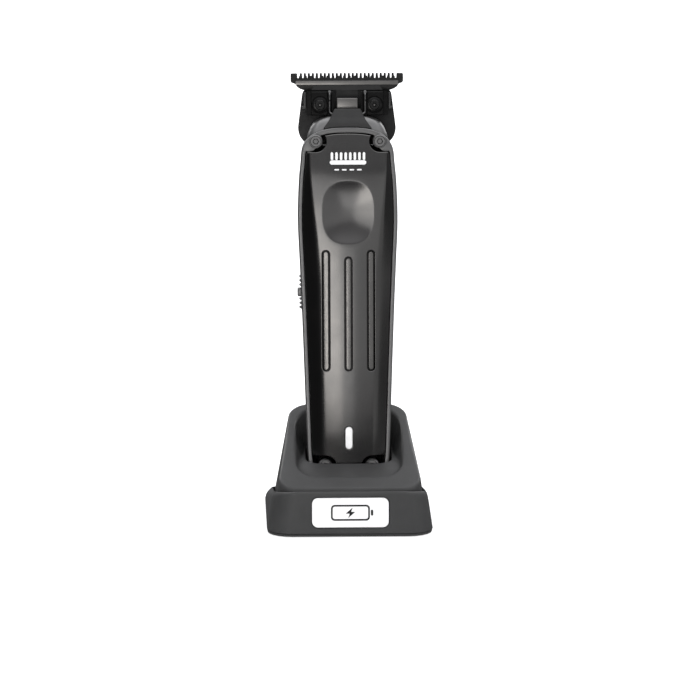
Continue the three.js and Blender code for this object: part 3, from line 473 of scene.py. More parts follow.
def cut(shape, tools):
    """The shape with each tool cut from it."""
    target = temporary(shape)
    others = [temporary(tool) for tool in tools]
    for other in others:
        modifier = target.modifiers.new("tool", "BOOLEAN")
        modifier.operation = "DIFFERENCE"
        modifier.object = other
        modifier.solver = "EXACT"
    evaluated = target.evaluated_get(bpy.context.evaluated_depsgraph_get())
    mesh = evaluated.to_mesh()
    points = [tuple(v.co) for v in mesh.vertices]
    faces = [tuple(p.vertices) for p in mesh.polygons]
    looks = [p.material_index for p in mesh.polygons]
    evaluated.to_mesh_clear()
    for item in [target, *others]:
        data = item.data
        bpy.data.objects.remove(item)
        bpy.data.meshes.remove(data)
    return Shape(points, faces, looks)


def round_edges(item, radius, segments, angle):
    """Rounds the edges that are sharper than the angle, by a radius in millimetres."""
    edges = item.modifiers.new("edges", "BEVEL")
    edges.width = radius * MM
    edges.segments = segments
    edges.limit_method = "ANGLE"
    edges.angle_limit = math.radians(angle)
    return edges


def piece(name, shape, slot, finishes=(), body="trimmer", place=TRIMMER, angle=35, bevel=0, added=False):
    """Makes the shape an object that rides on a body. Unless it is added, it stands for its CAD node."""
    materials = [FINISH[finish] for finish in finishes or [slot]]
    item = new_object(name, [place @ Vector(p) for p in shape.points], shape, materials)
    item.data.shade_smooth()
    if shape.normals is not None:
        normals = shape.normals @ (np.array(place.to_3x3()) / MM).T
        item.data.normals_split_custom_set_from_vertices([tuple(n) for n in normals])
    else:
        item.data.set_sharp_from_angle(angle=math.radians(angle))
    if bevel:
        round_edges(item, bevel, 3, angle).harden_normals = True
    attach(item, body)
    if not added:
        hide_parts(name)


# ---- materials --------------------------------------------------------------------------------

def set_inputs(node, **values):
    """Sets a node's inputs by name, with an underscore for each space in a name."""
    for key, value in values.items():
        node.inputs[key.replace("_", " ")].default_value = value


class Nodes:
    """A short way to build the node tree of a material or of the world."""

    def __init__(self, owner, last):
        owner.use_nodes = True
        self.owner = owner
        self.tree = owner.node_tree
        self.last = self.tree.nodes[last]
        self.places = self.add("ShaderNodeTexCoord").outputs

    def add(self, kind, **settings):
        node = self.tree.nodes.new(kind)
        for key, value in settings.items():
            setattr(node, key, value)
        return node

    def link(self, source, socket):
        self.tree.links.new(source, socket)

    def finish(self, socket, source):
        """Links the source to a socket of the last node."""
        self.link(source, self.last.inputs[socket])

    def noise(self, size, detail=3.0, stretch=None):
        """Noise whose features are about size millimetres across."""
        place = self.places["Object"]
        if stretch:
            mapping = self.add("ShaderNodeMapping")
            self.link(place, mapping.inputs["Vector"])
            set_inputs(mapping, Scale=stretch)
            place = mapping.outputs["Vector"]
        node = self.add("ShaderNodeTexNoise")
        self.link(place, node.inputs["Vector"])
        set_inputs(node, Scale=1 / (size * MM), Detail=detail)
        return node.outputs["Fac"]

    def ranged(self, source, low, high, start=0.3, end=0.7):
        node = self.add("ShaderNodeMapRange")
        self.link(source, node.inputs["Value"])
        set_inputs(node, From_Min=start, From_Max=end, To_Min=low, To_Max=high)
        return node.outputs["Result"]

    def blend(self, factor, a, b):
        node = self.add("ShaderNodeMix", data_type="RGBA")
        self.link(factor, node.inputs[0])
        node.inputs[6].default_value = (*a, 1)
        node.inputs[7].default_value = (*b, 1)
        return node.outputs[2]

    def bump(self, height, strength, distance, below=None):
        node = self.add("ShaderNodeBump")
        self.link(height, node.inputs["Height"])
        set_inputs(node, Strength=strength, Distance=distance * MM)
        if below is not None:
            self.link(below, node.inputs["Normal"])
        return node.outputs["Normal"]


def material_nodes(name):
    return Nodes(bpy.data.materials.new(name), "Principled BSDF")


def make_finish(name, dark, light, roughness, metallic=0.0, mottle=3.0, grain=0.08, relief=0.003,
                strength=0.3, stretch=None, waves=0.0, coat=0.0, level=0.5):
    """Material that drifts between two colours and two roughnesses, with a fine surface grain."""
    nodes = material_nodes(name)
    patches = nodes.noise(mottle, 4.0)
    fine = nodes.noise(grain, 2.0, stretch)
    wear = nodes.noise(mottle * 0.4, 5.0, stretch)
    nodes.finish("Base Color", nodes.blend(nodes.ranged(patches, 0, 1), dark, light))
    nodes.finish("Roughness", nodes.ranged(wear, *roughness))
    normal = nodes.bump(fine, strength, relief)
    if waves:
        normal = nodes.bump(nodes.noise(mottle * 1.5, 1.0), 1.0, waves, normal)
    nodes.finish("Normal", normal)
    set_inputs(nodes.last, Metallic=metallic, Coat_Weight=coat, Coat_Roughness=0.1, Specular_IOR_Level=level)
    return nodes.owner


def grey(value, warm=0.0):
    return (value * (1 + warm), value, value * (1 - warm))


def make_board():
    """Green solder mask over copper tracks."""
    nodes = material_nodes("circuit_board")
    bricks = nodes.add("ShaderNodeTexBrick", offset=0.5)
    nodes.link(nodes.places["Object"], bricks.inputs["Vector"])
    set_inputs(bricks, Scale=220.0, Mortar_Size=0.06, Mortar_Smooth=0.3)
    tracks = bricks.outputs["Fac"]
    nodes.finish("Base Color", nodes.blend(tracks, (0.012, 0.09, 0.035), (0.03, 0.17, 0.06)))
    nodes.finish("Roughness", nodes.ranged(nodes.noise(2.0), 0.3, 0.45))
    nodes.finish("Normal", nodes.bump(tracks, 0.5, 0.03))
    return nodes.owner


def make_light():
    """Frosted white window with a faint light behind it."""
    nodes = material_nodes("light_window")
    clouds = nodes.ranged(nodes.noise(1.6, 4.0), 0, 1)
    nodes.finish("Base Color", nodes.blend(clouds, grey(0.78), grey(0.9)))
    nodes.finish("Roughness", nodes.ranged(nodes.noise(0.6), 0.25, 0.4))
    nodes.finish("Normal", nodes.bump(nodes.noise(0.25), 0.2, 0.01))
    set_inputs(nodes.last, Emission_Color=(1, 1, 1, 1), Emission_Strength=0.05)
    return nodes.owner


FINISHES = {
    "dark_chrome": dict(dark=grey(0.15, 0.01), light=grey(0.165, 0.02), roughness=(0.17, 0.21),
                        metallic=1.0, mottle=14.0, grain=0.12, relief=0.0015, strength=0.25),
    "frame_metal": dict(dark=grey(0.22), light=grey(0.24), roughness=(0.34, 0.42), metallic=0.9, mottle=9.0,
                        grain=0.09, relief=0.004),
    "rear_shell": dict(dark=grey(0.1), light=grey(0.115), roughness=(0.36, 0.44), metallic=0.6, mottle=16.0,
                       grain=0.12, relief=0.0015, strength=0.25),
    "inlay_metal": dict(dark=grey(0.2, 0.02), light=grey(0.24, 0.03), roughness=(0.2, 0.3), metallic=1.0,
                        mottle=6.0, relief=0.0015, stretch=(6, 6, 0.3)),
    "stand_plastic": dict(dark=grey(0.036, -0.01), light=grey(0.042, -0.01), roughness=(0.42, 0.5),
                          mottle=12.0, grain=0.16, relief=0.01, strength=0.5),
    "inner_plastic": dict(dark=grey(0.035), light=grey(0.042), roughness=(0.4, 0.5), mottle=7.0, grain=0.14,
                          relief=0.008, strength=0.4),
    "neck_plastic": dict(dark=grey(0.042), light=grey(0.048), roughness=(0.4, 0.46), metallic=0.5,
                         mottle=7.0, grain=0.1, relief=0.004),
    "blade_black": dict(dark=grey(0.014), light=grey(0.02), roughness=(0.34, 0.44), metallic=0.4,
                        mottle=4.0, grain=0.07, strength=0.35),
    "clamp_black": dict(dark=grey(0.003), light=grey(0.006), roughness=(0.34, 0.44), metallic=0.2,
                        grain=0.07, strength=0.35, level=0.2),
    "black_steel": dict(dark=grey(0.03), light=grey(0.045), roughness=(0.22, 0.32), metallic=1.0,
                        mottle=2.5),
    "tab_steel": dict(dark=grey(0.09), light=grey(0.11), roughness=(0.36, 0.46), metallic=1.0, mottle=2.5),
    "plain_steel": dict(dark=grey(0.27, 0.03), light=grey(0.3, 0.03), roughness=(0.3, 0.36), metallic=1.0,
                        mottle=7.0, grain=0.09, relief=0.002, stretch=(0.5, 3, 3)),
    "screw_steel": dict(dark=grey(0.15), light=grey(0.19), roughness=(0.26, 0.36), metallic=1.0,
                        mottle=2.5),
    "badge_white": dict(dark=grey(0.86), light=grey(0.89), roughness=(0.12, 0.2), mottle=9.0, grain=0.3,
                        relief=0.002, strength=0.2, coat=0.5),
    "print_white": dict(dark=grey(0.82), light=grey(0.88), roughness=(0.4, 0.5), grain=0.1, strength=0.4),
    # near-black for real print, also used as painted shade in screw sockets and grooves and behind the cover's
    # slots
    "print_and_shade_black": dict(dark=grey(0.006), light=grey(0.012), roughness=(0.3, 0.4), grain=0.1, strength=0.4),
    "rubber": dict(dark=grey(0.014), light=grey(0.022), roughness=(0.8, 0.9), grain=0.2, relief=0.02,
                   strength=0.6),
    "cell_wrap": dict(dark=(0.02, 0.1, 0.3), light=(0.03, 0.13, 0.36), roughness=(0.2, 0.3), mottle=10.0,
                      grain=0.5, relief=0.01, coat=0.3, waves=0.05),
    "contact_gold": dict(dark=(0.8, 0.56, 0.24), light=(0.86, 0.63, 0.3), roughness=(0.18, 0.28),
                         metallic=1.0, mottle=2.0, grain=0.06, relief=0.002),
}
FINISH = {name: make_finish(name, **values) for name, values in FINISHES.items()}
FINISH |= {"circuit_board": make_board(), "light_window": make_light()}


def paint_cad_nodes():
    """Every carried-over CAD node takes its slot's finish and fine edges."""
    for part in frame["record"]["subparts"]:
        node = frame["nodes"][part["node"]]
        node.data.materials.clear()
        node.data.materials.append(FINISH[part["material_slot"]])
        round_edges(node, 0.12, 2, 40)


# ---- front cover ------------------------------------------------------------------------------

def dish_share(x, z):
    """0 in the middle of the thumb dish, 1 on its edge."""
    across = np.abs(x / DISH["half_width"]) ** DISH["power"]
    along = np.abs((z - DISH["z"]) / DISH["half_height"]) ** DISH["power"]
    return (across + along) ** (1 / DISH["power"])


def softer(a, b, blend):
    """The larger of two depths, with the corner between them rounded."""
    return (a + b + np.sqrt((a - b) ** 2 + blend * blend)) / 2


def cover_depth(x, z):
    """Depth of the cover's face: a crowned panel between two sloping flanks, and the dish."""
    crease = curve_through(CREASE, z)
    crown = curve_through(CROWN, z)
    panel = crown + PANEL_BOW * (x / crease) ** 2
    side = body_half_width(np.minimum(z, COVER["flank_top"])) - RIM["side"] - COVER["gap"]
    half = np.maximum(side, crease + 0.5)
    slope = (COVER["edge_depth"] - crown - PANEL_BOW) / (half - crease)
    flank = crown + PANEL_BOW + slope * (np.abs(x) - crease)
    face = softer(panel, flank, CREASE_BLEND)
    share = dish_share(x, z)
    bowl = DISH["depth"] * (1 - share ** 2)
    return softer(face, face + bowl, DISH["blend"])


def cover_outline():
    inset = RIM["side"] + COVER["gap"]
    notch = COVER["notch"]
    (top_x, top_z), (low_x, low_z) = SCREW_PLACES[0], SCREW_PLACES[2]
    side_low, side_high = low_z + notch, top_z - notch
    foot_angle = math.degrees(math.asin((low_z - COVER["bottom"]) / notch))
    half = [(0, COVER["bottom"])]
    half += arc((low_x, low_z), notch, 180 + foot_angle, 90, 20)
    for z in np.linspace(side_low, side_high, 50):
        half.append((float(body_half_width(z)) - inset, z))
    half += arc((top_x, top_z), notch, 270, 142, 20)
    width = BODY_SIDE[-1][1] - inset
    height = BODY_TOP - BODY_SHOULDER - RIM["top"] - COVER["gap"]
    start = half[-1][0] - 0.6
    for x in np.linspace(start, 0, 12):
        half.append((x, BODY_SHOULDER + height * (1 - (x / width) ** ARCH_POWER) ** (1 / ARCH_POWER)))
    half[-1] = (0, half[-1][1])
    return soften(mirrored(half), 0.4, 0.35)


def slot_places():
    return [("left", -SLOT["pitch"], SLOT["top"]), ("centre", 0, SLOT["centre_top"]),
            ("right", SLOT["pitch"], SLOT["top"])]


def cover_grid():
    """Points for the cover's face, in columns that follow its creases."""
    across = np.r_[np.linspace(0, 0.9, 12), 0.95, 0.98, 1.0, 1.02, 1.05, 1.1, 1.2, 1.3, 1.4, 1.5, 1.6, 1.7]
    across = np.r_[-across[:0:-1], across]
    rows = np.arange(COVER["bottom"], 140, 1.0)
    grid = np.array([(share * float(curve_through(CREASE, z)), z) for z in rows for share in across])
    share = dish_share(grid[:, 0], grid[:, 1])
    grid = grid[(share < 0.93) | (share > 1.07)]
    angles = np.linspace(0, 2 * math.pi, 96, endpoint=False)
    power = 2 / DISH["power"]
    across = DISH["half_width"] * np.abs(np.cos(angles)) ** power * np.sign(np.cos(angles))
    along = DISH["half_height"] * np.abs(np.sin(angles)) ** power * np.sign(np.sin(angles))
    rings = [np.stack([reach * across, DISH["z"] + reach * along], axis=1)
             for reach in (0.3, 0.5, 0.7, 0.84, 0.92, 0.96, 0.98, 0.99, 1.0, 1.01, 1.02, 1.04)]
    return np.vstack([grid, *rings])


def make_front_cover():
    holes = [stadium(x, SLOT["width"], SLOT["bottom"], top) for _, x, top in slot_places()]
    holes.append(stadium(0, LIGHT["width"] + 0.1, LIGHT["bottom"] - 0.05, LIGHT["top"] + 0.05))
    holes = [evenly(hole, 0.4) for hole in holes]

    def behind(x, z):
        return cover_depth(x, z) + COVER["wall"]

    shape = plate(cover_outline(), cover_depth, behind, holes, edge=COVER["edge"], extra=cover_grid(),
                  back_extra=cover_grid()[::3])
    piece("front_cover", shape, "dark_chrome")


def make_cover_trim():
    for word, x, top in slot_places():
        inset = (SLOT["width"] - SLOT["bar_width"]) / 2
        outline = evenly(stadium(x, SLOT["bar_width"], SLOT["bottom"] + inset, top - inset), 0.4)

        def face(px, pz, middle=x):
            return cover_depth(px, pz) + 0.12 + 0.05 * (px - middle) ** 2

        piece(f"inlay_bar_{word}", plate(outline, face, -10.2, edge=0.18), "inlay_metal")
    outline = evenly(stadium(0, LIGHT["width"] - 0.2, LIGHT["bottom"] + 0.1, LIGHT["top"] - 0.1), 0.3)
    pill = plate(outline, lambda px, pz: cover_depth(px, pz) + 0.05, -9.6, edge=0.3)
    piece("led_window", pill, "light_window")


def make_inlay_carrier():
    """Black sheet inside the cover that closes the slots and holds the inlay bars. Its near-black is painted shade
    in the gaps beside the bars.
    """
    outline = soften(round_box(23.5, 53, 2.5, (0, (SLOT["bottom"] + SLOT["top"]) / 2)), 0.3, 0.6)
    sheet = plate(outline, lambda x, z: cover_depth(x, z) + COVER["wall"] + 0.05,
                  lambda x, z: cover_depth(x, z) + COVER["wall"] + 0.6, edge=0.1, back_edge=0.1,
                  extra=cover_grid()[::2], back_extra=cover_grid()[::3], steps=2)
    piece("inlay_carrier", sheet, "inner_plastic", ["print_and_shade_black"], added=True)


def decal(loops, depth):
    """Thin printed marks that follow a surface."""
    shape = Shape()
    for loop in loops:
        loop = evenly(loop, 0.4)
        low, high = np.min(loop, axis=0), np.max(loop, axis=0)
        fill = [(x, z) for x in np.arange(low[0], high[0], 0.7) for z in np.arange(low[1], high[1], 0.7)]
        shape += plate(loop, lambda x, z: depth(x, z) - 0.05, lambda x, z: depth(x, z) + 0.1, edge=0.02,
                       back_edge=0.02, extra=np.array(fill), steps=1)
    return shape


def make_cover_print():
    """Generic comb sign: a spine with teeth over a row of dashes."""
    teeth = [stadium(x, 1.0, 128.4, 131.6, 6) for x in np.linspace(-6.4, 6.4, 8)]
    spine = [round_box(14.6, 1.7, 0.8, (0, 127.5))]
    dashes = [round_box(2.0, 0.55, 0.27, (x, 124.6)) for x in np.linspace(-4.5, 4.5, 4)]
    marks = decal(teeth + spine + dashes, cover_depth)
    piece("cover_print", marks, "badge_white", ["print_white"], added=True)


# ---- frame and rear housing -------------------------------------------------------------------

def make_mid_frame():
    inner = body_loop(RIM["side"], RIM["top"], RIM["bottom"], 3)
    for place in SCREW_PLACES:
        inner = bitten(inner, place, SCREW_SEAT_RADIUS)
    for side in (-1, 1):
        inner = bitten(inner, (side * SCREW_WEB["x"], SCREW_WEB["z"]), SCREW_WEB["radius"])
    inner = soften(inner, 0.3)
    ring = plate(body_loop(0), RIM["front"], RIM["back"], [inner], edge=RIM["edge"], back_edge=0.25,
                 hole_edge=RIM["inner_edge"])
    switch_opening = block((-24, -14), (-5.7, 1.7), (66.9, 87.2), 0.5)
    contact_holes = [turned([(1.9, -2), (1.9, 5)], (x, AXIS_DEPTH), "Z", 24) for x in CONTACT_PLACES]
    inlet = block((-4.9, 4.9), (-2.05, 2.05), (-2, 5), 0.9)
    shaft_hole = turned([(2.2, BODY_TOP - 4), (2.2, BODY_TOP + 2)], (0, AXIS_DEPTH), "Z", 24)
    tools = [switch_opening, *contact_holes, inlet, shaft_hole]
    piece("mid_frame", cut(ring, tools), "frame_metal")


RING_COUNT = 400


def bridge(count):
    """Faces that close a ring which is its own mirror image, each from its right side to its left."""
    faces = []
    for i in range(count // 2):
        corners = (i, i + 1, count - i - 1, (count - i) % count)
        faces.append(tuple(dict.fromkeys(corners)))
    return faces


def rear_ring(draw, inset):
    """One ring of the rear housing, drawn in from its edge by draw."""
    loop = body_loop(inset + draw, corner=BODY_CORNER + draw)
    loop = resample(loop, RING_COUNT)
    share = (1 - (1 - draw / REAR["reach"]) ** REAR["power"]) ** (1 / REAR["power"])
    full = curve_through(REAR_DEPTH, loop[:, 1]) - inset - REAR["front"]
    return np.stack([loop[:, 0], REAR["front"] + full * share, loop[:, 1]], axis=1)


def make_rear_housing():
    draws = REAR["reach"] * (1 - np.cos(np.linspace(0, math.pi / 2, 15))) ** 1.6 * REAR["drawn"]
    outer = [rear_ring(d, 0) for d in draws]
    inner = [rear_ring(d, REAR["wall"]) for d in draws[:-2]]
    shell = loft(inner[::-1] + outer, caps=False)
    last = len(shell.points) - RING_COUNT
    ends = bridge(RING_COUNT) + [tuple(last + i for i in face) for face in bridge(RING_COUNT)]
    shell = Shape(shell.points, shell.faces + ends)
    seat = block((-30, 30), (REAR["seat_depth"], 30), (REAR["seat_top"], 160), 0.4)
    piece("rear_housing", cut(shell, [seat]), "rear_shell")


# ---- screws -----------------------------------------------------------------------------------

def screw(place, top, head, height, shank, end, socket, groove):
    """Cap screw along Y with a hexagon socket and a ring groove. top is the depth of the head's face. The walls of
    the socket and of the groove take the second finish, a near-black that is painted shade.
    """
    profile = [(0.3, top), (head - 0.25, top), (head, top + 0.25), (head, top + height),
               (shank, top + height), (shank, end - 0.3), (shank - 0.3, end)]
    taper = [(socket, top - 1), (socket, top), (socket * 0.72, top + 0.8)]
    # the socket's walls and the groove take finish 1, a near-black that paints the shade in them; the socket's
    # floor keeps finish 0
    hexagon = turned(taper, place, count=6).painted(1)
    hexagon.looks[-1] = 0
    inner, outer = groove - 0.16, groove + 0.08
    ring = [(inner, top - 1), (outer, top - 1), (outer, top + 0.4), (inner, top + 0.4)]
    return cut(turned(profile, place), [hexagon, turned(ring, place, closed=True).painted(1)])


def make_frame_screws():
    for number, place in enumerate(SCREW_PLACES):
        top = -9.3 if number < 2 else -8.7  # the upper screws stand higher
        shape = screw(place, top, head=2.65, height=1.5, shank=1.2, end=-3.2, socket=1.3, groove=2.15)
        # the second finish is painted shade on the walls of the socket and of the groove
        piece(f"frame_screw_{number + 1}", shape, "screw_steel", ["frame_metal", "print_and_shade_black"])


# ---- neck and blade set -----------------------------------------------------------------------

NECK_WIDTH = [(134, 16.6), (138, 16.0), (140, 15.3), (142, 14.3), (143.6, 12.9), (144.8, 11.0), (145.6, 8.6)]
NECK_FRONT = [(134, -6.6), (138, -6.2), (142, -5.0), (144.3, -4.0), (145.6, -2.8)]


def make_neck():
    rings = []
    low, high = NECK_WIDTH[0][0], NECK_WIDTH[-1][0]
    for z in np.linspace(low, high, 24):
        width = float(curve_through(NECK_WIDTH, z))
        front = float(curve_through(NECK_FRONT, z))
        radius = 4.6 - 2.4 * (z - low) / (high - low)
        xy = ring_points(width, front, 4.9, radius)
        rings.append(np.c_[xy, np.full(len(xy), z)])
    dome = loft(rings)
    body = plate(body_loop(-0.06), -20, 20, edge=0.02, back_edge=0.02, steps=1)
    bore = turned([(4.3, 130), (4.3, 150)], (0, AXIS_DEPTH), "Z", 32)
    piece("neck_housing", cut(dome, [body, bore]), "frame_metal", bevel=0.3)


SHIELD_WIDTH = [(140.4, 10.2), (141.6, 9.2), (143, 8.2), (145, 6.9), (148.8, 5.2)]
SHIELD_DEPTH = [(140.4, -7.3), (142.8, -7.0), (145.4, -6.2), (148.8, -5.3)]
SHIELD = {"bottom": 140.9, "top": 148.7, "bow": 0.006, "thickness": 1.4}


def arch_height(x):
    """Height of the trimmer's arched top at a distance from its middle."""
    rise = (1 - (abs(x) / BODY_SIDE[-1][1]) ** ARCH_POWER) ** (1 / ARCH_POWER)
    return BODY_SHOULDER + (BODY_TOP - BODY_SHOULDER) * rise


def make_neck_cover():
    heights = np.linspace(SHIELD["bottom"], SHIELD["top"], 18)
    foot_width = float(curve_through(SHIELD_WIDTH, SHIELD["bottom"]))
    foot = [(x, arch_height(x) + 0.12) for x in np.linspace(0, foot_width, 8)]
    side = [(float(curve_through(SHIELD_WIDTH, z)), z) for z in heights[1:]]
    outline = soften(mirrored(foot + side + [(0, heights[-1])]), 0.25, 0.25)

    def face(x, z):
        return curve_through(SHIELD_DEPTH, z) + SHIELD["bow"] * x * x

    shape = plate(outline, face, lambda x, z: face(x, z) + SHIELD["thickness"], edge=0.3,
                  extra=np.array([(x, z) for x in np.linspace(-9, 9, 13) for z in heights]))
    piece("neck_cover", shape, "inner_plastic", ["neck_plastic"])


BRACKET_HALF = [(0, 133.9), (14.2, 133.9), (17.2, 135), (19, 137.4), (19.7, 140.3), (17.8, 155.2),
                (17.2, 156.1), (0, 156.1)]
BLADE_SCREW = {"x": 10.9, "z": 150.2}


def screw_holes():
    x, z = BLADE_SCREW["x"], BLADE_SCREW["z"]
    return [np.array(arc((side * x, z), 1.5, 0, 360, 24)[:-1]) for side in (-1, 1)]


def make_bracket():
    outline = soften(mirrored(BRACKET_HALF), 0.9)
    shape = plate(outline, 5.2, 6.6, screw_holes(), edge=0.25, back_edge=0.25)
    for side in (-1, 1):
        shape += side_block(side, 16.5, 17.6, (-2.6, 5.4), (149.3, 155.1), 0.2).painted(1)
        shape += side_block(side, 16.5, 18.2, (-2.8, 5.4), (148.5, 149.6), 0.25).painted(1)
    piece("blade_bracket", shape, "blade_black", ["blade_black", "tab_steel"])


def make_clamp():
    x, z = BLADE_SCREW["x"], BLADE_SCREW["z"]
    body = block((-16.3, 16.3), (-2.2, 1.9), (145.9, 155.5), 0.5)
    follower_room = block((-5.5, 5.5), (-4, 4), (148.1, 158), 0.3)
    cam_room = block((-2.7, 2.7), (-1.45, 4), (144, 149), 0.2)
    tools = [follower_room, cam_room]
    for side in (-1, 1):
        place = (side * x, z)
        washer_pocket = turned([(3.5, -4), (3.5, -1.4), (3.3, -1.2)], place, count=40)
        screw_hole = turned([(1.5, -5), (1.5, 5)], place, count=24)
        spring_groove = side_block(side, 6.1, 8.1, (-4, -1.2), (144, 158), 0.3)
        spring_gap = side_block(side, 6.1, 8.1, (-4, 4), (154.4, 158), 0.1)
        outer_step = side_block(side, 14.3, 18, (-4, -1.3), (143, 158), 0.3)
        tools += [washer_pocket, screw_hole, spring_groove, spring_gap, outer_step]
    piece("blade_clamp", cut(body, tools), "blade_black", ["clamp_black"], bevel=0.15)


def make_blade_screws():
    for side, word in ((-1, "left"), (1, "right")):
        place = (side * BLADE_SCREW["x"], BLADE_SCREW["z"])
        section = [(1.5, -2.0), (2.2, -2.0), (3.0, -1.7), (3.0, -1.6), (2.9, -1.5), (1.5, -1.5)]
        washer = turned(section, place, closed=True)
        piece(f"blade_washer_{word}", washer, "plain_steel", ["black_steel"], bevel=0.04)
        shape = screw(place, -3.4, head=2.05, height=1.3, shank=1.2, end=6.4, socket=1.0, groove=1.7)
        pin = [(0.02, -3.0), (0.3, -2.95), (0.45, -2.8), (0.45, -2.2), (0.02, -2.2)]
        shape += turned(pin, place, count=20).painted(2)
        # the second finish is painted shade on the walls of the socket and of the groove
        finishes = ["black_steel", "print_and_shade_black", "inlay_metal"]
        piece(f"blade_screw_{word}", shape, "screw_steel", finishes)


def make_spring():
    half = [(7.1, 1.6, 155.1), (7.1, 0.2, 155.3), (7.1, -2.0, 155.2), (7.1, -3.0, 154.2), (7.1, -3.1, 152.4),
            (7.1, -2.7, 151.6), (7.1, -2.7, 148), (6.9, -2.8, 147.1), (6.2, -3.1, 146.6), (5.0, -3.2, 146.5)]
    path = smooth_path(half + [(-x, y, z) for x, y, z in reversed(half)])
    shape = wire(path, 0.42)
    for side in (-1, 1):
        shape += wire([(side * 7.1, y, 155.15) for y in (-2.7, -2.0, -1.0, -0.2)], 0.75, 16)
    piece("tension_spring", shape, "screw_steel")


TEETH = {"count": 24, "pitch": 1.6, "root": 160.7, "tip": 162.7, "width": 1.2}
CUTTERS = {"count": 18, "pitch": 2.2, "root": 160.5, "tip": 161.7, "width": 1.3}


def teeth_row(count, pitch, width, root, tip):
    """The teeth's outline from right to left."""
    points = []
    for k in range(count):
        middle = ((count - 1) / 2 - k) * pitch
        right = [(width * 0.5, root), (width * 0.42, root + 0.3), (width * 0.36, tip - 0.2),
                 (width * 0.2, tip)]
        points += [(middle + x, z) for x, z in right]
        points += [(middle - x, z) for x, z in reversed(right)]
    return points


def flipped(points):
    return [(-x, z) for x, z in reversed(points)]


def make_fixed_blade():
    low = [(0, 146.4), (14.4, 146.4), (15.4, 155.4), (18.6, 156.8), (21.0, 158.5)]
    ear = arc((21.3, 159.8), 1.25, -50, 0, 6) + arc((22.05, 162.1), 0.5, 0, 90, 4) + [(20.2, 162.65)]
    ear += [(19.9, 162.4), (19.8, TEETH["root"])]
    comb = teeth_row(**TEETH)
    outline = np.array(low + ear + comb + flipped(ear) + flipped(low[1:]))

    def face(x, z):
        return 3.55 + np.clip((z - 161.6) * 0.3, 0, 0.6)

    shape = plate(outline, face, 4.9, screw_holes(), edge=0.1, back_edge=0.1, steps=2)
    piece("fixed_blade", shape, "blade_black")


def make_moving_blade():
    stem = [(0, 148.9), (4.5, 148.9), (4.5, 155.9), (17.2, 155.9), (18.9, 156.5), (20.2, 157.4),
            (20.6, 158.6), (20.6, 159.9), (20.3, CUTTERS["root"])]
    outline = np.array(stem + teeth_row(**CUTTERS) + flipped(stem[1:]))
    shape = plate(outline, 2.6, 3.25, edge=0.1, back_edge=0.1, steps=2)
    shape += block((-20.6, 20.6), (2.36, 2.8), (158.0, 159.6), 0.12).painted(1)
    ridge = [[(-x, y, z), (x, y, z), (x, 2.9, z), (-x, 2.9, z)]
             for x, y, z in ((14.3, 1.75, 156), (13, 2.5, 158))]
    finishes = ["blade_black", "plain_steel"]
    piece("moving_blade", shape + loft(ridge), "plain_steel", finishes, body="cutter", angle=25)


def make_follower():
    body = block((-4.1, 4.1), (-2.1, 2.05), (148.2, 152.8), 0.18)
    room = 1.9
    slot = block((-2.75, 2.75), (AXIS_DEPTH - room, 4), (147, 152.2), 0.2)
    piece("cam_follower", cut(body, [slot]), "plain_steel", body="cutter", bevel=0.06)


# ---- stand ------------------------------------------------------------------------------------

def ring_weights(front=9, corner=12, side=14, back=9):
    """Places round a round-cornered rectangle as weights, so that rectangles of any size match."""
    rows = [(t, 0, 0, -1) for t in np.linspace(0, 1, front, endpoint=False)]
    rows += [(1, math.sin(a), 0, -math.cos(a)) for a in np.linspace(0, math.pi / 2, corner)]
    rows += [(1, 1, t, 0) for t in np.linspace(0, 1, side + 2)[1:-1]]
    rows += [(1, math.cos(a), 1, math.sin(a)) for a in np.linspace(0, math.pi / 2, corner)]
    rows += [(1 - t, 0, 1, 1) for t in np.linspace(0, 1, back + 1)[1:]]
    right = np.array([(1, *row) for row in rows])
    left = right[::-1][1:-1].copy()
    left[:, 0] = -1
    return np.vstack([right, left]).T


RING = ring_weights()


def ring_points(half_width, front, back, radius):
    sign, flat, bend, along, out = RING
    x = sign * (flat * (half_width - radius) + bend * radius)
    y = (1 - along) * (front + radius) + along * (back - radius) + out * radius
    return np.stack([x, y], axis=1)


def tower_ring(z, grow=0.0):
    side = TOWER["half_width"] - TOWER["side_lean"] * (z - TOWER["width_z"])
    half_width = np.minimum(side, TOWER["widest"]) + grow
    back = TOWER["back"] - TOWER["back_lean"] * (z - TOWER["back_z"]) + grow
    return ring_points(half_width, TOWER["front"] - grow, back, TOWER["corner"] + grow / 2)


def bay_ring(z, grow=0.0):
    """The bay's wall, whose sides close in on the trimmer below the rim."""
    back = BAY["back"] + BAY["lean"] * (z - BAY["back_z"])
    ring = ring_points(BAY["half_width"] + grow, BAY["front"] - grow, back + grow, BAY["corner"] + grow)
    depth = np.maximum(rim_height(ring[:, 1]) - z, 0)
    closing = np.minimum(BAY["funnel"] * depth, BAY["closing"])
    ring[:, 0] *= 1 - closing / BAY["half_width"]
    return ring


def skirt_ring(z, grow=0.0):
    edge = SKIRT["half_depth"] - SKIRT["draft"] * (z - SKIRT["bottom"]) + grow
    half_width = SKIRT["half_width"] - SKIRT["side_draft"] * z + grow
    return ring_points(half_width, -edge, edge, SKIRT["corner"] + grow / 2)


def rim_height(y, sink=0.0):
    return TOWER["rim_start"] - sink + TOWER["rim_slope"] * (y - TOWER["front"])


def floor_height(y, sink=0.0):
    front = BAY["lip"] + BAY["slope"] * (y - BAY["front"])
    at_break = BAY["lip"] + BAY["slope"] * (BAY["break"] - BAY["front"])
    back = at_break + BAY["back_slope"] * (y - BAY["break"])
    return np.minimum(front, back) - sink


def ledge_height(y, sink=0.0):
    return SKIRT["top"] - SKIRT["top_fall"] * (y - SKIRT["top_y"]) - sink


def meeting(ring, height, start=25.0):
    """Points where a flaring wall meets a surface. ring(z) and height(y) describe the two."""
    z = np.full(RING.shape[1], start)
    for _ in range(30):
        z = height(ring(z)[:, 1])
    return np.c_[ring(z), z]


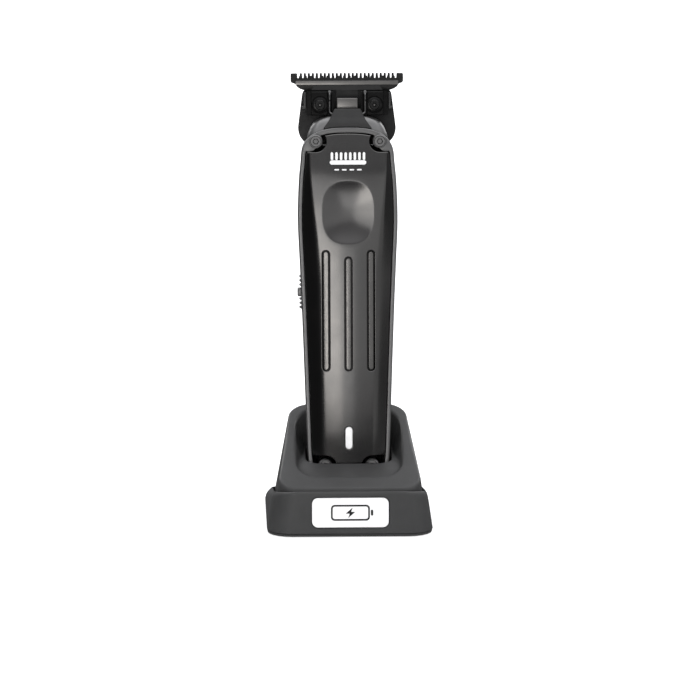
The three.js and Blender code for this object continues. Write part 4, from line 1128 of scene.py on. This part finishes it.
def socket_points(z, grow=0.0):
    """The socket's wall at trimmer heights z, in the row frame."""
    wide = SOCKET["half_width"] + SOCKET["draft"] * z + grow
    front = SOCKET["front"] - SOCKET["draft"] * z - grow
    back = SOCKET["back"] + SOCKET["draft"] * z + grow
    xy = ring_points(wide, front, back, SOCKET["corner"] + grow)
    y = xy[:, 1] * math.cos(LEAN) + z * math.sin(LEAN) + SEAT.y
    height = -xy[:, 1] * math.sin(LEAN) + z * math.cos(LEAN) + SEAT.z
    return np.stack([xy[:, 0], y, height], axis=1)


def socket_lip(grow=0.0):
    z = np.full(RING.shape[1], 8.0)
    for _ in range(30):
        points = socket_points(z, grow)
        z = z + (floor_height(points[:, 1], grow) - points[:, 2])
    return socket_points(z, grow)


def rounded_section(keys, radii, steps=6):
    """Rings from key rings: the corner at each inner key is rounded by its radius."""
    keys = [np.asarray(key, float) for key in keys]
    rings = [keys[0]]
    for before, corner, after, radius in zip(keys, keys[1:], keys[2:], radii):
        towards, onwards = before - corner, after - corner
        first = np.linalg.norm(towards, axis=1)[:, None]
        second = np.linalg.norm(onwards, axis=1)[:, None]
        a = corner + towards * np.minimum(radius / np.maximum(first, 1e-6), 0.48)
        b = corner + onwards * np.minimum(radius / np.maximum(second, 1e-6), 0.48)
        for t in np.linspace(0, 1, steps + 1):
            rings.append(a * (1 - t) ** 2 + 2 * corner * t * (1 - t) + b * t * t)
    rings.append(keys[-1])
    return rings


def tower_foot(y):
    """Height of the tower's lower edge, which stays clear of the base plate."""
    return np.maximum(ledge_height(y, TOWER["tuck"]), TOWER["lowest"])


def tower_keys(grow):
    """Corner rings of the tower's skin. grow is 0 for the visible side, else the wall's thickness."""
    foot = meeting(lambda z: tower_ring(z, -grow), tower_foot, 16.0)
    rim = meeting(lambda z: tower_ring(z, -grow), lambda y: rim_height(y, grow * 1.1))
    lip = meeting(lambda z: bay_ring(z, grow), lambda y: rim_height(y, grow * 1.1))
    lip[:, 2] = np.maximum(lip[:, 2], floor_height(lip[:, 1], grow))
    bay_foot = meeting(lambda z: bay_ring(z, grow), lambda y: floor_height(y, grow))
    bottom = socket_points(np.full(RING.shape[1], SOCKET["floor"] - grow), grow)
    middle = bottom.mean(axis=0)
    return [foot, rim, lip, bay_foot, socket_lip(grow), bottom, middle + (bottom - middle) * 0.25]


def make_tower():
    radii = [1.5, 1.3, 5.0, 0.7, 1.2]
    outer = rounded_section(tower_keys(0.0), radii)
    hidden = rounded_section(tower_keys(STAND_WALL), radii, 2)
    shell = loft(hidden[::-1] + outer)
    pin_holes = [turned([(1.3, -6), (1.3, 3)], (x, AXIS_DEPTH), "Z", 24).moved(LEANING)
                 for x in CONTACT_PLACES]
    inlet = block((-4.85, 4.85), (24, 40), (7.4, 11.4), 1.5, 5)
    tower = cut(shell, [*pin_holes, inlet])
    piece("stand_upper_housing", tower, "stand_plastic", body="stand", place=STAND, angle=50)


BADGE_LEAN = math.atan(SKIRT["draft"])
BADGE_PLACE = (Matrix.Translation((0, -SKIRT["half_depth"] + SKIRT["draft"] * BADGE["z"] + 0.5, BADGE["z"]))
               @ Matrix.Rotation(-BADGE_LEAN, 4, "X"))


def badge_outline(grow):
    width, height = BADGE["width"] + 2 * grow, BADGE["height"] + 2 * grow
    return evenly(round_box(width, height, BADGE["corner"] + grow), 0.5)


def make_skirt():
    bottom = np.full(RING.shape[1], SKIRT["bottom"])
    foot = np.c_[skirt_ring(bottom), bottom]
    top = meeting(skirt_ring, ledge_height, 15.0)
    side = RING[2]  # 0 along the front and back, 1 along the sides
    top[:, 2] -= SKIRT["side_drop"] * side
    inner_top = meeting(lambda z: tower_ring(z, SKIRT["gap"]), ledge_height, 15.0)
    inner_low = inner_top.copy()
    inner_low[:, 2] -= 1.4
    under_height = np.maximum(top[:, 2] - 3.2, SKIRT["bottom"] + 0.5)
    under = np.c_[skirt_ring(under_height, -SKIRT["wall"]), under_height]
    inner_foot = np.c_[skirt_ring(bottom, -SKIRT["wall"]), bottom]
    edge = (1.2 + 1.2 * side)[:, None]
    rings = rounded_section([foot, top, inner_top, inner_low, under, inner_foot], [edge, 0.5, 0.2, 0.4])
    shell = loft(rings, closed=True)
    pocket = plate(badge_outline(0.35), -1.5, 0.85, edge=0.02, back_edge=0.2, steps=2).moved(BADGE_PLACE)
    piece("stand_lower_housing", cut(shell, [pocket]), "stand_plastic", body="stand", place=STAND, angle=50)


def make_badge():
    shape = plate(badge_outline(0), -1.0, 0.1, edge=0.45, back_edge=0.1)
    place = STAND @ BADGE_PLACE
    piece("badge_plate", shape, "badge_white", body="stand", place=place)
    case = round_box(15.5, 6.4, 1.5)
    bolt = np.array([(0.9, 2.1), (-1.9, -0.35), (-0.25, -0.35), (-0.9, -2.1), (1.9, 0.35), (0.25, 0.35)])
    nub = round_box(0.9, 2.4, 0.35, (8.6, 0))
    marks = plate(case, -1.03, -0.95, [round_box(14.1, 5.0, 0.9)], edge=0.02, back_edge=0.02, steps=1)
    marks += decal([bolt, nub], depth_function(-1.0))
    piece("badge_print", marks, "badge_white", ["print_and_shade_black"], body="stand", place=place, added=True)


# ---- switch -----------------------------------------------------------------------------------

SWITCH = {"bottom": 68.3, "top": 82.8, "travel": 3, "y": -2, "half_depth": 2.6}


def make_switch():
    wall = -float(body_half_width((SWITCH["bottom"] + SWITCH["top"]) / 2))
    low, high = SWITCH["bottom"], SWITCH["top"]
    y = (SWITCH["y"] - SWITCH["half_depth"], SWITCH["y"] + SWITCH["half_depth"])
    end = high + SWITCH["travel"]
    track = block((wall + 0.2, wall + 2.6), (y[0] - 0.8, y[1] + 0.8), (low - 1.1, end + 1.1), 0.3)
    lane = block((wall - 2, wall + 1.6), (y[0] - 0.3, y[1] + 0.3), (low - 0.3, end + 0.3), 0.3)
    slot = block((wall - 1, wall + 4), (SWITCH["y"] - 1, SWITCH["y"] + 1), (low + 4.6, end - 4.6), 0.3)
    piece("switch_base", cut(track, [lane, slot]), "inner_plastic", bevel=0.1)
    inner = (y[0] + 0.3, y[1] - 0.3)
    shape = block((wall, wall + 1.3), y, (low, high), 0.3)
    shape += block((wall - 1.5, wall + 0.4), inner, (73.6, 77), 0.45)
    shape += block((wall + 1, wall + 3.6), (SWITCH["y"] - 0.7, SWITCH["y"] + 0.7), (low + 5, low + 8.4), 0.2)
    for start in (low + 0.5, 77.8):
        for k in range(3):
            shape += block((wall - 0.8, wall + 0.4), inner, (start + 1.7 * k, start + 1.7 * k + 0.85), 0.35)
    piece("switch_slider", shape, "frame_metal", body="power_switch")


# ---- floor, lights and camera -----------------------------------------------------------------

TARGET = Vector((0.0006, -0.005, 0.0695))
VIEW_AZIMUTH = math.radians(-1.4)
VIEW_ELEVATION = math.radians(12)
VIEW_DISTANCE = 3.0
VIEW_WIDTH = 0.28
SENSOR = 36.0
LIT_POINT = Vector((0, 0, 0.08))
LOW_CARD, HIGH_CARD = (0.056, 0.16), (0.16, 0.25)
WARM = (1, 0.97, 0.94)
CARD_DISTANCE = 0.5


def make_floor():
    mesh = bpy.data.meshes.new("floor")
    mesh.from_pydata([(-3, -1.5, 0), (3, -1.5, 0), (3, 5, 0), (-3, 5, 0)], [], [(0, 1, 2, 3)])
    nodes = material_nodes("floor")
    set_inputs(nodes.last, Base_Color=(0.8, 0.8, 0.8, 1), Roughness=0.9, Specular_IOR_Level=0.1,
               Emission_Color=(1, 1, 1, 1), Emission_Strength=0.62)
    mesh.materials.append(nodes.owner)
    floor = bpy.data.objects.new("floor", mesh)
    bpy.context.scene.collection.objects.link(floor)
    floor.visible_glossy = False


def area_light(name, place, away, size, radiance, colour=(1, 1, 1)):
    """Rectangular light at a place, whose back faces away from the object."""
    light = bpy.data.lights.new(name, "AREA")
    light.shape = "RECTANGLE"
    light.size, light.size_y = size
    light.energy = radiance * math.pi * size[0] * size[1]
    light.color = colour
    item = bpy.data.objects.new(name, light)
    item.location = place
    item.rotation_euler = away.to_track_quat("Z", "Y").to_euler()
    item.visible_camera = False
    bpy.context.scene.collection.objects.link(item)
    return item


def add_softbox(name, azimuth, elevation, distance, side, radiance):
    """Square light that faces the object. Azimuth 0 is the front and grows towards the viewer's right."""
    a, e = math.radians(azimuth), math.radians(elevation)
    away = Vector((math.sin(a) * math.cos(e), -math.cos(a) * math.cos(e), math.sin(e)))
    return area_light(name, LIT_POINT + away * distance, away, (side, side), radiance)


def add_card(name, azimuths, heights, radiance, colour=(1, 1, 1)):
    """Upright light near the object that reaches between two azimuths and two heights."""
    middle = math.radians(sum(azimuths) / 2)
    reach = math.radians(azimuths[1] - azimuths[0]) / 2
    away = Vector((math.sin(middle), -math.cos(middle), 0))
    place = away * CARD_DISTANCE * math.cos(reach) + Vector((0, 0, sum(heights) / 2))
    size = (2 * CARD_DISTANCE * math.sin(reach), heights[1] - heights[0])
    area_light(name, place, away, size, radiance, colour)


SKY = [(0.0, 0.1), (0.49, 0.1), (0.52, 0.15), (0.66, 0.24), (0.8, 0.7), (1.0, 0.9)]  # place, value
SKY_BLUE = 1.03


def make_world():
    """Sky that brightens upwards and is darker on the left. The camera sees plain white instead."""
    world = bpy.data.worlds.new("studio")
    bpy.context.scene.world = world
    nodes = Nodes(world, "Background")
    split = nodes.add("ShaderNodeSeparateXYZ")
    nodes.link(nodes.places["Generated"], split.inputs[0])
    ramp = nodes.add("ShaderNodeValToRGB")
    nodes.link(nodes.ranged(split.outputs["Z"], 0, 1, -1, 1), ramp.inputs["Fac"])
    stops = ramp.color_ramp.elements
    while len(stops) < len(SKY):
        stops.new(0.5)
    for stop, (place, value) in zip(stops, SKY):
        stop.position = place
        stop.color = (value, value, value * SKY_BLUE, 1)
    shaded = nodes.add("ShaderNodeVectorMath", operation="SCALE")
    nodes.link(ramp.outputs["Color"], shaded.inputs[0])
    nodes.link(nodes.ranged(split.outputs["X"], 0.3, 1.0, -0.95, -0.5), shaded.inputs["Scale"])
    mix = nodes.add("ShaderNodeMix", data_type="RGBA")
    nodes.link(nodes.add("ShaderNodeLightPath").outputs["Is Camera Ray"], mix.inputs[0])
    nodes.link(shaded.outputs["Vector"], mix.inputs[6])
    mix.inputs[7].default_value = (1, 1, 1, 1)
    nodes.finish("Color", mix.outputs[2])


def make_camera():
    data = bpy.data.cameras.new("camera")
    data.sensor_width = SENSOR
    data.lens = SENSOR * VIEW_DISTANCE / VIEW_WIDTH
    camera = bpy.data.objects.new("camera", data)
    flat = math.cos(VIEW_ELEVATION)
    away = Vector((math.sin(VIEW_AZIMUTH) * flat, -math.cos(VIEW_AZIMUTH) * flat, math.sin(VIEW_ELEVATION)))
    camera.location = TARGET + away * VIEW_DISTANCE
    camera.rotation_euler = away.to_track_quat("Z", "Y").to_euler()
    data.clip_start = 0.05
    data.clip_end = 20
    bpy.context.scene.collection.objects.link(camera)
    bpy.context.scene.camera = camera


def make_studio():
    make_camera()
    make_floor()
    make_world()
    add_softbox("overhead", 0, 88, 1.5, 1.8, 0.7)
    add_card("low_left", (-26, -5), LOW_CARD, 2.8, WARM)
    add_card("low_middle", (-5, 6), LOW_CARD, 1.1)
    add_card("low_right", (6, 32), LOW_CARD, 0.4)
    add_card("high_left", (-26, -3), HIGH_CARD, 1.05)
    add_card("high_right", (-3, 32), HIGH_CARD, 0.42)
    add_card("far_right", (32, 75), (0.0, 0.25), 0.26)
    for azimuth in (140, 215):
        add_softbox(f"back_{azimuth}", azimuth, 28, 1.3, 0.8, 2.2)
    for azimuth in (-42, 38):
        fill = add_softbox(f"fill_{azimuth}", azimuth, 20, 0.9, 0.5, 1.6)
        fill.visible_glossy = False
    bpy.context.scene.view_settings.view_transform = "Standard"


# ---- the whole --------------------------------------------------------------------------------

def make_trimmer():
    make_front_cover()
    make_cover_trim()
    make_inlay_carrier()
    make_cover_print()
    make_mid_frame()
    make_rear_housing()
    make_frame_screws()
    make_neck()
    make_neck_cover()
    make_bracket()
    make_clamp()
    make_blade_screws()
    make_spring()
    make_fixed_blade()
    make_moving_blade()
    make_follower()
    make_switch()


def make_stand():
    make_tower()
    make_skirt()
    make_badge()


paint_cad_nodes()
make_trimmer()
make_stand()
make_studio()
